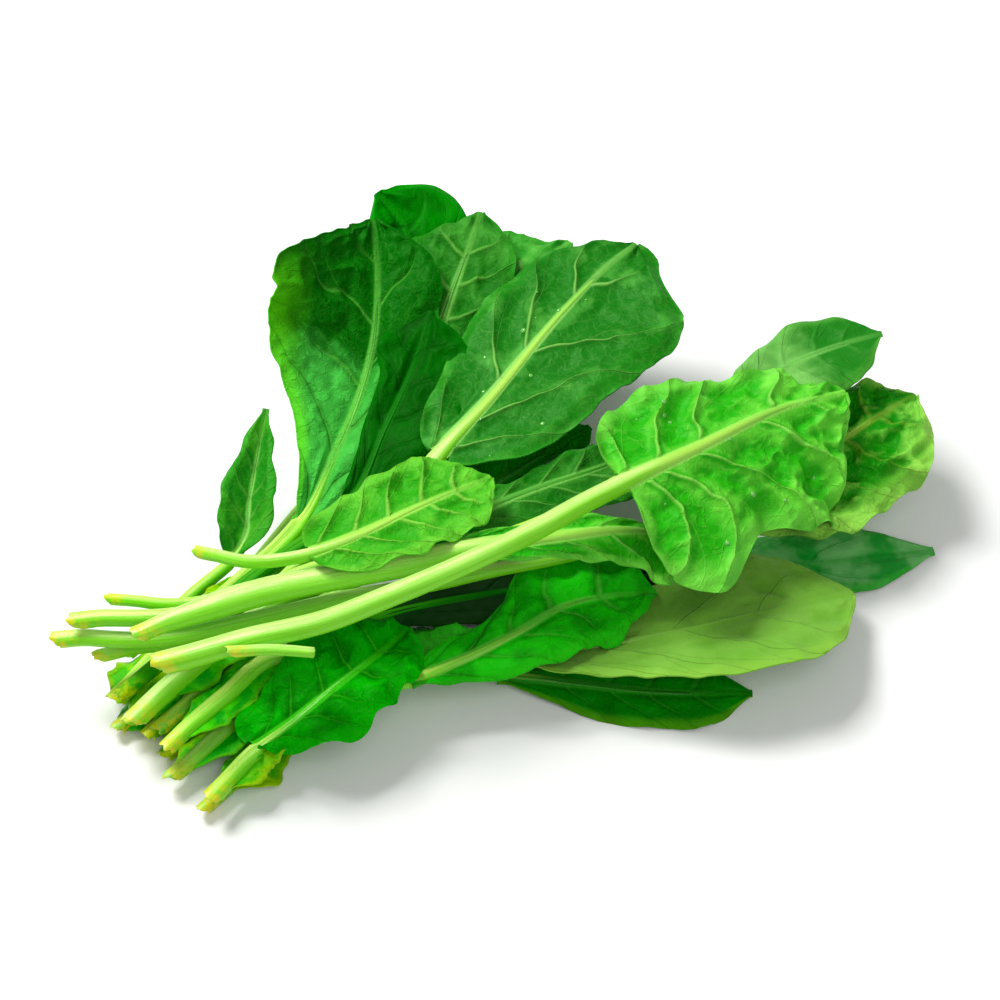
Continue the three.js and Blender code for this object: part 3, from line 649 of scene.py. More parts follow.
class SpineLine:
    """A centripetal Catmull-Rom curve through a leaf's spine, read by its length."""

    DIVISIONS = 200
    NUDGE = 1e-4

    def __init__(self, points: tuple[Three, ...]) -> None:
        """Measures the curve.

        Args:
            points: The points that it passes through.
        """
        p = np.array(points, float)
        self.points = np.vstack([2 * p[0] - p[1], p, 2 * p[-1] - p[-2]])
        self.spans = len(p) - 1
        self.times = np.linspace(0, 1, self.DIVISIONS + 1)
        self.lengths = run_along(self.read(self.times))
        self.length = self.lengths[-1]

    def read(self, time: Array) -> Array:
        """Gives the curve's points.

        Args:
            time: Times from 0 to 1.

        Returns:
            A point for each time.
        """
        place = np.asarray(time) * self.spans
        i = np.minimum(place.astype(int), self.spans - 1)
        w = (place - i)[:, None]
        p0, p1, p2, p3 = (self.points[i + k] for k in range(4))
        pairs = ((p0, p1), (p1, p2), (p2, p3))
        d0, d1, d2 = (np.sum((a - b) ** 2, axis=1)[:, None] ** 0.25 for a, b in pairs)
        leaving = ((p1 - p0) / d0 - (p2 - p0) / (d0 + d1) + (p2 - p1) / d1) * d1
        arriving = ((p2 - p1) / d1 - (p3 - p1) / (d1 + d2) + (p3 - p2) / d2) * d1
        square = -3 * p1 + 3 * p2 - 2 * leaving - arriving
        cube = 2 * p1 - 2 * p2 + leaving + arriving
        return p1 + leaving * w + square * w**2 + cube * w**3

    def places(self, shares: Array) -> tuple[Array, Array]:
        """Gives points and directions at shares of the curve's length.

        Args:
            shares: Shares of the length, 0 to 1.

        Returns:
            The points, and the unit directions along the curve.
        """
        time = np.interp(np.asarray(shares) * self.length, self.lengths, self.times)
        ahead = self.read(np.minimum(time + self.NUDGE, 1)) - self.read(np.maximum(time - self.NUDGE, 0))
        return self.read(time), ahead / np.linalg.norm(ahead, axis=1)[:, None]


@dataclass
class Stations:
    """Cross-sections along a leaf: centres, directions, stalk radii and, on the blade, how far along
    it and at which step they are. Stalk stations have along 0."""

    centre: Array
    ahead: Array
    left: Array
    up: Array
    radius: Array
    along: Array
    step: Array

    @classmethod
    def on(
        cls, leaf: Leaf, line: SpineLine, share: Array, radius: Array, along: Array, step: Array
    ) -> "Stations":
        """Sets stations on a leaf's line.

        Args:
            leaf: The leaf.
            line: Its spine.
            share: Shares of the spine's length.
            radius: The stalk's radius at each.
            along: How far along the blade each is.
            step: The blade's step at each.

        Returns:
            The stations, with directions turned by the leaf's roll.
        """
        centre, ahead = line.places(share)
        flat_up = np.array([0, 0, 1.0]) - ahead * ahead[:, 2:]
        flat_up /= np.linalg.norm(flat_up, axis=1)[:, None]
        flat_left = np.cross(flat_up, ahead)
        roll = np.radians(three_way(leaf.roll, along))[:, None]
        left = flat_left * np.cos(roll) + flat_up * np.sin(roll)
        up = flat_up * np.cos(roll) - flat_left * np.sin(roll)
        return cls(centre, ahead, left, up, radius, along, step)

    def part(self, chosen: slice) -> "Stations":
        """Gives a run of the stations."""
        return Stations(*(getattr(self, name)[chosen] for name in self.__dataclass_fields__))


def packed_stations(leaf: Leaf, line: SpineLine) -> tuple[Stations, int]:
    """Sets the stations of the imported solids.

    Args:
        leaf: The leaf.
        line: Its spine.

    Returns:
        The stations, and how many of them come before the blade.
    """
    petiole = line.length - leaf.blade
    thin = leaf.cut / 2 * PETIOLE_TAPER
    steps = math.ceil(petiole / PETIOLE_STEP)
    share = list(petiole / line.length * np.arange(steps) / steps)
    radius = list(mix(leaf.cut / 2, thin, np.arange(steps) / steps))
    along, step = [0.0] * steps, [0.0] * steps
    if leaf.blade:
        at = np.arange(BLADE_ROWS + 1) / BLADE_ROWS
        far = blade_along(at)
        share += list(np.minimum(1, (petiole + leaf.blade * far) / line.length))
        radius += list(mix(thin, MIDRIB_END, far))
        along += list(far)
        step += list(at)
    else:
        share, radius, along, step = share + [1.0], radius + [thin], along + [0.0], step + [0.0]
    return Stations.on(leaf, line, *(np.array(v) for v in (share, radius, along, step))), steps


def blade_along(step: Array) -> Array:
    """Gives how far along the blade a step is: steps are closer by the tip."""
    return (step + np.sin(np.pi / 2 * step)) / 2


def blade_step(along: Array) -> Array:
    """Gives the step at which the blade has come so far along."""
    steps = np.linspace(0, 1, STEP_TABLE)
    return np.interp(along, blade_along(steps), steps)


def spread(leaf: Leaf, at: Stations, side: Side, share: Array, reach: Array, width: Array) -> Array:
    """Spreads one half of a blade from its midrib.

    Args:
        leaf: The leaf.
        at: The blade's stations.
        side: Which half.
        share: Shares of the half's width, one per column.
        reach: Distance from the midrib's line, one row per station.
        width: The half's full width at each station.

    Returns:
        Points, one row per station and one column per share.
    """
    half = leaf.half(side)
    rise = np.radians(three_way(half.rise, at.along))[:, None]
    turn = np.radians(three_way(half.curl, at.along))[:, None] * share / 2
    arc = reach * np.sinc(turn / np.pi)
    height, count, start = leaf.wave
    phase = 2 * np.pi * count * at.along + start + (0 if side is Side.LEFT else 2)
    ripple = height * share**2 * np.sin(phase)[:, None]
    hangs = leaf.lobe * np.maximum(0, 1 - at.along / LOBE_REACH) + TIP_PULL * at.along**6
    back = -(width * hangs)[:, None] * share**2
    out = (side.value * arc * np.cos(rise + turn))[..., None] * at.left[:, None]
    upward = (arc * np.sin(rise + turn) + ripple)[..., None] * at.up[:, None]
    return at.centre[:, None] + out + upward + back[..., None] * at.ahead[:, None]


class Heap:
    """The heap's upper surface, as the highest point laid so far in each cell of a square grid."""

    def __init__(self) -> None:
        """Starts with the bare table."""
        self.columns = math.ceil((MAP_HIGH[0] - MAP_LOW[0]) / CELL)
        self.rows = math.ceil((MAP_HIGH[1] - MAP_LOW[1]) / CELL)
        self.height = np.zeros((self.rows, self.columns))
        self.settle()

    def settle(self) -> None:
        """Takes the highest of each three by three cells, once a leaf is laid."""
        padded = np.pad(self.height, 1)
        near = [padded[r : r + self.rows, c : c + self.columns] for r in range(3) for c in range(3)]
        self.highest = np.max(near, axis=0)

    def cells(self, points: Array) -> tuple[Array, Array]:
        """Gives the row and column of the cell under each point."""
        column, row = (np.floor((points[..., k] - MAP_LOW[k]) / CELL).astype(int) for k in (0, 1))
        return row, column

    def shortfall(self, points: Array, stand: Array) -> Array:
        """Gives how much too low each point is to clear the heap by its stand and the air."""
        return self.highest[self.cells(points)] + stand + AIR - points[..., 2]

    def stamp(self, points: Array, stand: Array) -> None:
        """Adds what stands over each point."""
        np.maximum.at(self.height, self.cells(points), points[..., 2] + stand)


def quad_samples(quads: Array, count: int) -> tuple[Array, Array]:
    """Samples quads all over.

    Args:
        quads: Four corners for each quad.
        count: Samples along each side.

    Returns:
        The points, and how far the blade's face stands above each quad.
    """
    a, b, c, d = (quads[:, k] for k in range(4))
    face = np.cross(b - a, c - a)
    face /= np.maximum(np.linalg.norm(face, axis=1)[:, None], 1e-12)
    stand = BLADE_THICKNESS / 2 / np.maximum(LEAST_COSINE, np.abs(face[:, 2]))
    steps = (np.arange(count) + 0.5) / count
    s, t = (v.ravel()[None, :, None] for v in np.meshgrid(steps, steps, indexing="ij"))
    near = mix(a[:, None], b[:, None], s)
    far = mix(d[:, None], c[:, None], s)
    return mix(near, far, t), stand[:, None]


def stalk_samples(at: Stations, i: int, step: float) -> tuple[Array, Array]:
    """Samples the stretch of stalk after a station, right across.

    Args:
        at: The leaf's stations.
        i: The station.
        step: Millimetres between samples along the stalk.

    Returns:
        The points, and the stalk's height over each.
    """
    start, end = at.centre[i], at.centre[i + 1]
    count = math.ceil(np.linalg.norm(end - start) / step)
    t = np.arange(count + 1)[:, None] / count
    middle, radius = mix(start, end, t)[:, None], mix(at.radius[i], at.radius[i + 1], t)
    share = np.linspace(-1, 1, STALK_SHARES + 1)
    points = middle + (share * radius)[..., None] * at.left[i]
    points[..., 2] = middle[..., 2]
    return points, radius * np.sqrt(1 - share**2)


@dataclass
class LaidLeaf:
    """A leaf as it lies on the heap: its stations lifted, and the lifts themselves."""

    leaf: Leaf
    line: SpineLine
    at: Stations
    petiole_rows: int
    lift: Array
    extra: Array

    @classmethod
    def on(cls, leaf: Leaf, heap: Heap) -> "LaidLeaf":
        """Lays a leaf on the heap. It bends up over what it would cut into.

        Args:
            leaf: The leaf to lay.
            heap: The heap, which then includes the leaf.

        Returns:
            The leaf as it lies.
        """
        line = SpineLine(leaf.spine)
        at, petiole_rows = packed_stations(leaf, line)
        lattice = packed_lattice(leaf, at.part(slice(petiole_rows, None)))
        spine_need = np.zeros(len(at.radius))
        for i in range(len(spine_need) - 1):
            need = heap.shortfall(*stalk_samples(at, i, 2 * CELL)).max()
            spine_need[i : i + 2] = np.maximum(spine_need[i : i + 2], need)
        blade_need = np.zeros(lattice.shape[:2])
        if leaf.blade:
            rows, columns = blade_need.shape
            need = heap.shortfall(*quad_samples(quads_of(lattice), QUAD_SAMPLES)).max(axis=1)
            need = need.reshape(rows - 1, columns - 1)
            for i in (0, 1):
                for j in (0, 1):
                    near = blade_need[i : rows - 1 + i, j : columns - 1 + j]
                    np.maximum(near, need, out=near)
            beside_rib = blade_need[:, columns // 2 - 1 : columns // 2 + 1].max(axis=1)
            wanted = np.maximum(beside_rib, SPINE_SHARE * blade_need.max(axis=1))
            spine_need[petiole_rows:] = np.maximum(spine_need[petiole_rows:], wanted)
        lift = relaxed(spine_need[:, None], SPINE_PASSES, repeat_ends=True)[:, 0]
        extra = relaxed(np.maximum(0, blade_need - lift[petiole_rows:, None]), BLADE_PASSES)
        if leaf.blade:
            extra[:, columns // 2 - 1 : columns // 2 + 1] = 0
        at.centre[:, 2] += lift
        lattice[..., 2] += lift[petiole_rows:, None] + extra
        cls.stamp(at, lattice, heap)
        return cls(leaf, line, at, petiole_rows, lift, extra)

    @staticmethod
    def stamp(at: Stations, lattice: Array, heap: Heap) -> None:
        """Adds a laid leaf's stalk and blade to the heap.

        Args:
            at: The leaf's lifted stations.
            lattice: The blade's lifted points.
            heap: The heap to add to.
        """
        for i in range(len(at.radius) - 1):
            heap.stamp(*stalk_samples(at, i, 0.6 * CELL))
        if lattice.size:
            quads = quads_of(lattice)
            sides = [np.linalg.norm(quads[:, 0] - quads[:, k], axis=1) for k in (1, 3)]
            count = np.ceil(np.maximum(*sides) / (0.7 * CELL)).astype(int)
            for n in np.unique(count):
                heap.stamp(*quad_samples(quads[count == n], int(n)))
        heap.settle()


def packed_lattice(leaf: Leaf, at: Stations) -> Array:
    """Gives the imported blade's points.

    Args:
        leaf: The leaf.
        at: The blade's stations.

    Returns:
        The points, in rows from the left margin to the right one.
    """
    if not leaf.blade:
        return np.zeros((0, 2 * len(BLADE_SHARES), 3))
    inner = np.where(np.arange(len(at.step)) < JOIN_ROW, at.radius, MIDRIB_END) + HAIRLINE
    halves = []
    for side in Side:
        width = smooth(leaf.half(side).wide, at.step)
        reach = inner[:, None] + BLADE_SHARES * np.maximum(0, width - inner)[:, None]
        halves.append(spread(leaf, at, side, BLADE_SHARES, reach, width))
    return np.concatenate([halves[0][:, ::-1], halves[1]], axis=1)


def relaxed(needs: Array, passes: int, repeat_ends: bool = False) -> Array:
    """Spreads lifts among their neighbours, with none less than it needs to be.

    Args:
        needs: The least lifts, in rows and columns.
        passes: How often each gives way to its neighbours.
        repeat_ends: Whether the first and the last row count as their own neighbours.

    Returns:
        The lifts.
    """
    lifts = needs
    rows, columns = needs.shape
    for _ in range(passes if needs.size else 0):
        total, count = np.zeros_like(lifts), np.zeros_like(lifts)
        for i, j in ((-1, 0), (1, 0), (0, -1), (0, 1)):
            to = (slice(max(0, i), rows + min(0, i)), slice(max(0, j), columns + min(0, j)))
            source = (slice(max(0, -i), rows + min(0, -i)), slice(max(0, -j), columns + min(0, -j)))
            total[to] += lifts[source]
            count[to] += 1
        if repeat_ends:
            total[[0, -1]] += lifts[[0, -1]]
            count[[0, -1]] += 1
        lifts = np.maximum(needs, (lifts + total / count) / 2)
    return lifts


@dataclass
class Skin:
    """A closed mesh in the making: points in millimetres, faces, and what its finish reads."""

    points: Array
    faces: Array
    floats: dict[str, Array]
    vectors: dict[str, Array]
    flat: Array | None = None

    def piece(self, name: str, shift: Array) -> Piece:
        """Makes the Blender object.

        Args:
            name: The object's name.
            shift: From the heap's coordinates to the frame's, in millimetres.

        Returns:
            The object, at the origin.
        """
        mesh = bpy.data.meshes.new(name)
        points = self.points + shift
        points[:, 2] = np.maximum(points[:, 2], 0)
        mesh.from_pydata((points * MM).tolist(), [], list(map(tuple, self.faces)))
        for key, values in self.floats.items():
            layer = mesh.attributes.new(key, "FLOAT", "POINT")
            layer.data.foreach_set("value", np.asarray(values, np.float32).ravel())
        for key, values in self.vectors.items():
            layer = mesh.attributes.new(key, "FLOAT_VECTOR", "POINT")
            layer.data.foreach_set("vector", np.asarray(values, np.float32).ravel())
        if self.flat is not None:
            corners = np.empty(len(mesh.loops), np.int32)
            mesh.loops.foreach_get("vertex_index", corners)
            places = self.flat[corners].astype(np.float32).ravel()
            mesh.uv_layers.new(name="leaf").data.foreach_set("uv", places)
        mesh.polygons.foreach_set("use_smooth", [True] * len(mesh.polygons))
        mesh.update()
        mesh.validate()
        thing = bpy.data.objects.new(name, mesh)
        bpy.context.scene.collection.objects.link(thing)
        return thing


def sheet_faces(rows: int, columns: int) -> Array:
    """Gives the faces of a closed sheet: a lattice on top, the same one below it, and its rim.

    Args:
        rows: Rows of points.
        columns: Columns of points.

    Returns:
        Four corners for each face, facing out.
    """
    each = np.arange(rows * columns).reshape(rows, columns)
    quads = quads_of(each)
    under = rows * columns
    rim = np.concatenate([each[0, :-1], each[:-1, -1], each[-1, :0:-1], each[:0:-1, 0]])
    walls = np.stack([rim, rim + under, np.roll(rim, -1) + under, np.roll(rim, -1)], axis=1)
    return np.concatenate([quads, quads[:, ::-1] + under, walls])


@dataclass
class VeinFan:
    """The side veins of one half of a blade. Each is given by how far along the blade it is at the
    midrib, half way out and at the margin."""

    FIRST = {Side.LEFT: 0.05, Side.RIGHT: 0.1}
    LAST = 0.86
    PLAY = 0.02
    LEAST_GAP = 0.02

    veins: Array

    @classmethod
    def of(cls, habit: Habit, side: Side, seed: int) -> "VeinFan":
        """Takes a habit's own veins, or fans out even ones with a little play.

        Args:
            habit: The blade's habit.
            side: Which half.
            seed: For the play.

        Returns:
            The fan.
        """
        own = habit.left_veins if side is Side.LEFT else habit.right_veins
        if own:
            return cls(np.array(own))
        draw = np.random.default_rng(seed)
        start = np.linspace(cls.FIRST[side], cls.LAST, habit.pairs)
        start = start + draw.uniform(-cls.PLAY, cls.PLAY, habit.pairs)
        sweep = habit.sweep * draw.uniform(0.75, 1.15, habit.pairs) * (1 - 0.55 * start)
        return cls(np.stack([start, start + 0.42 * sweep, start + sweep], axis=1))

    def phase(self, along: Array, share: Array, length: float) -> tuple[Array, Array]:
        """Counts the veins passed on the way to the tip.

        Args:
            along: How far along the blade, one per row.
            share: Shares of the half's width, one per column.
            length: The blade's length.

        Returns:
            The count, whole on a vein, and the millimetres between two veins, in rows and columns.
        """
        q = share[None, :]
        near, middle, far = (self.veins[:, k : k + 1] for k in range(3))
        at = near * (1 - q) * (1 - 2 * q) + middle * 4 * q * (1 - q) + far * q * (2 * q - 1)
        at = np.maximum.accumulate(at + np.arange(len(at))[:, None] * self.LEAST_GAP, axis=0)
        gaps = np.maximum(np.diff(at, axis=0), self.LEAST_GAP)
        at = np.vstack([at[:1] - gaps[:1] / 2, at, at[-1:] + gaps[-1:] / 2])
        gaps = np.vstack([gaps[:1], gaps[:1], (gaps[1:] + gaps[:-1]) / 2, gaps[-1:], gaps[-1:]])
        number = np.concatenate([[-0.5], np.arange(len(at) - 2), [len(at) - 2.5]])
        phase = np.stack([np.interp(along, at[:, j], number) for j in range(len(share))], axis=1)
        space = np.stack([np.interp(along, at[:, j], gaps[:, j]) for j in range(len(share))], axis=1)
        return phase, space * length


def rib_radius(leaf: Leaf, along: Array) -> Array:
    """Gives the midrib's radius along the blade: it thins fast, then slowly."""
    fall = leaf.habit.rib_fall if leaf.habit else 1.0
    return mix(leaf.cut / 2 * PETIOLE_TAPER, RIB_TIP, np.asarray(along) ** fall)


@dataclass
class Blade:
    """A leaf's blade: a closed thin sheet with veins, puckered flesh and a frilled margin. base_round
    and tip_round are shares of its length, fuller widens its last third, uneven is the play in its
    width, crowd draws rows to the tip, blunt undoes part of the tip's pull, waver bends the veins,
    frill_length is the margin's wave, and fillet and groove are shares of midrib and ridge."""

    laid: LaidLeaf
    number: int
    base_round: float = 0.08
    tip_round: float = 0.3
    tip_power: float = 2.1
    fuller: float = 0.3
    uneven: float = 0.08
    uneven_length: float = 16
    crowd: float = 0.12
    blunt: float = 0.7
    waver: float = 0.2
    frill_length: float = 15
    fillet: float = 0.4
    groove: float = 0.35

    @property
    def habit(self) -> Habit:
        """Gives the leaf's habit."""
        return self.laid.leaf.habit

    def widths(self, side: Side, at: Stations, inner: Array) -> Array:
        """Gives one half's width, rounded in at base and tip and a little uneven.

        Args:
            side: Which half.
            at: The blade's stations.
            inner: Where the flesh starts, beside the midrib.

        Returns:
            The width at each station.
        """
        leaf, far = self.laid.leaf, at.along
        width = smooth(leaf.half(side).wide, at.step)
        base = np.sqrt(np.clip(1 - (1 - far / self.base_round).clip(0, 1) ** 2, 0, 1))
        to_tip = ((far - 1 + self.tip_round) / self.tip_round).clip(0, 1)
        tip = np.sqrt(np.clip(1 - to_tip**self.tip_power, 0, 1))
        play = Noise(self.number * 7 + side.value + 1).layered(far * leaf.blade / self.uneven_length, far * 0)
        fuller = 1 + self.fuller * ease(0.65, 0.92, far)
        uneven = 1 + self.uneven * play * (1 - far**8)
        width = width * (0.3 + 0.7 * base) * (0.05 + 0.95 * tip) * fuller * uneven
        return np.maximum(width, inner + FINE_MARGIN)

    def stations(self) -> Stations:
        """Sets the fine blade's stations on the laid leaf.

        Returns:
            The stations.
        """
        leaf, line = self.laid.leaf, self.laid.line
        along = np.linspace(0, 1, math.ceil(leaf.blade / self.habit.step) + 1)
        along = mix(along, np.sin(along * np.pi / 2), self.crowd)
        step = blade_step(along)
        place = np.minimum(1, (line.length - leaf.blade + leaf.blade * along) / line.length)
        at = Stations.on(leaf, line, place, rib_radius(leaf, along), along, step)
        at.centre[:, 2] += smooth(self.laid.lift[self.laid.petiole_rows :], step)
        return at

    def skin(self) -> Skin:
        """Makes the blade's closed sheet.

        Returns:
            The sheet with what its finish reads.
        """
        leaf, habit, at = self.laid.leaf, self.habit, self.stations()
        inner = at.radius + HAIRLINE
        extra = smooth(self.laid.extra, at.step)
        half_columns = extra.shape[1] // 2
        parts = []
        for side in Side:
            width = self.widths(side, at, inner)
            columns = math.ceil(max(leaf.half(side).wide) / habit.step) + 3
            t = np.linspace(0, 1, columns + 1)
            share = np.clip((t - CENTRE_BAND) / (1 - CENTRE_BAND), 0, 1)
            room = np.maximum(0, width - inner)[:, None]
            reach = np.where(t < CENTRE_BAND, inner[:, None] * t / CENTRE_BAND, inner[:, None] + share * room)
            points = spread(leaf, at, side, share, reach, width)
            rows = extra[:, half_columns - 1 :: -1] if side is Side.LEFT else extra[:, half_columns:]
            place = np.interp(share, BLADE_SHARES, np.linspace(0, 1, len(BLADE_SHARES)))
            points[..., 2] += smooth(rows.T, place).T
            blunt = self.blunt * TIP_PULL * width * at.along**6
            points += (blunt[:, None] * share**2)[..., None] * at.ahead[:, None]
            fan = VeinFan.of(habit, side, self.number * 11 + side.value + 1)
            phase, space = fan.phase(at.along, share, leaf.blade)
            tip = np.broadcast_to(at.along[:, None], reach.shape)
            share = np.broadcast_to(share, reach.shape)
            parts.append([points, phase, space, share, side.value * reach, tip])
        joined = [np.concatenate([a[:, ::-1], b[:, 1:]], axis=1) for a, b in zip(*parts)]
        return self.sheet(at, *joined)

    def sheet(
        self, at: Stations, points: Array, phase: Array, space: Array, share: Array, across: Array, tip: Array
    ) -> Skin:
        """Raises the veins and the flesh, and closes the sheet.

        Args:
            at: The stations.
            points: The blade's smooth middle surface.
            phase: The veins passed.
            space: Millimetres between veins.
            share: Shares of the half's width.
            across: Signed distance from the midrib.
            tip: How far along the blade.

        Returns:
            The closed sheet.
        """
        habit, length = self.habit, self.laid.leaf.blade
        run = tip * length
        noise = Noise(FLESH_DRAW + self.number)
        phase = phase + self.waver * noise.layered(run / 18 + 5, across / 11, 2) * ease(0.0, 0.3, share)
        from_vein = np.abs(phase - np.round(phase)) * space * VEIN_SLANT
        clear = ease(0.0, 0.22, share)
        room = np.minimum(1, space / 14) * clear * (1 - 0.55 * ease(0.7, 1, share)) * ease(0, 0.06, tip)
        swell = np.abs(np.sin(np.pi * phase)) ** 0.7
        blister = 0.5 + 0.5 * noise.layered(run / 7 + 3, across / 7, 2)
        pucker = habit.pucker * room * swell * (0.45 + 0.9 * blister)
        fold = 1 - 2.4 * np.abs(noise.layered(run / 13 + 11, across / 10, 3))
        crumple = habit.crumple * clear * fold * (0.5 + 0.8 * ease(0.2, 1, tip))
        wave = np.sin(2 * np.pi * run / self.frill_length + 2.5 * noise.at(run / 20, across / 30))
        frill = habit.frill * share**4 * (wave + 0.6 * noise.at(run / 5, across / 9))
        looks_under = habit.face is Face.UNDER
        flesh = (-pucker if looks_under else pucker) + crumple
        relief = flesh / (habit.pucker + habit.crumple) * 0.5 + 0.5
        calm = ease(0, 10, np.abs(across).max(axis=1))[:, None]
        middle = flesh + frill - habit.droop * ease(0.72, 1, share) ** 2 * ease(0.05, 0.3, tip)
        middle *= calm
        normal = normals_of(points)
        wide = (0.6 + 0.7 * (1 - share)) * habit.ridge_width
        ridge = habit.ridge * np.exp(-((from_vein / wide) ** 2)) * (1 - 0.75 * share)
        ridge = ridge * ease(0, 0.03, share) * calm
        rib = at.radius[:, None]
        fillet = self.fillet * rib * np.exp(-((across / (1.4 * rib)) ** 2))
        groove = self.groove * ridge
        top = SHEET / 2 + fillet + (ridge if looks_under else -groove)
        bottom = SHEET / 2 + fillet + (-groove if looks_under else ridge)
        faces = [points + normal * (middle + top)[..., None], points + normal * (middle - bottom)[..., None]]
        twice = {key: np.concatenate([v.ravel(), v.ravel()]) for key, v in (
            ("vein_phase", phase), ("vein_space", space), ("share", share), ("across", across), ("tip", tip),
            ("rib", np.broadcast_to(rib, run.shape)), ("relief", relief),
        )}
        is_upper = np.repeat([0.0, 1.0] if looks_under else [1.0, 0.0], run.size)
        flat = np.stack([run, across], axis=2).reshape(-1, 2) * MM
        return Skin(
            np.concatenate([f.reshape(-1, 3) for f in faces]),
            sheet_faces(*run.shape),
            {**twice, "is_upper": is_upper},
            {},
            np.concatenate([flat, flat]),
        )

    def build(self, shift: Array, dew: "DewTree") -> Piece:
        """Makes the blade and dresses it, with drops where its habit is wet.

        Args:
            shift: From the heap to the frame, in millimetres.
            dew: What scatters the drops.

        Returns:
            The piece.
        """
        piece = self.skin().piece(f"{self.laid.leaf.name}_fine_blade", shift)
        piece.data.set_sharp_from_angle(angle=math.radians(BLADE_SHARP))
        finish = LeafDress(self.habit.finish).material()
        if self.habit.wet:
            dew.apply(piece, finish, seed=self.number)
        else:
            piece.data.materials.append(finish)
        return piece


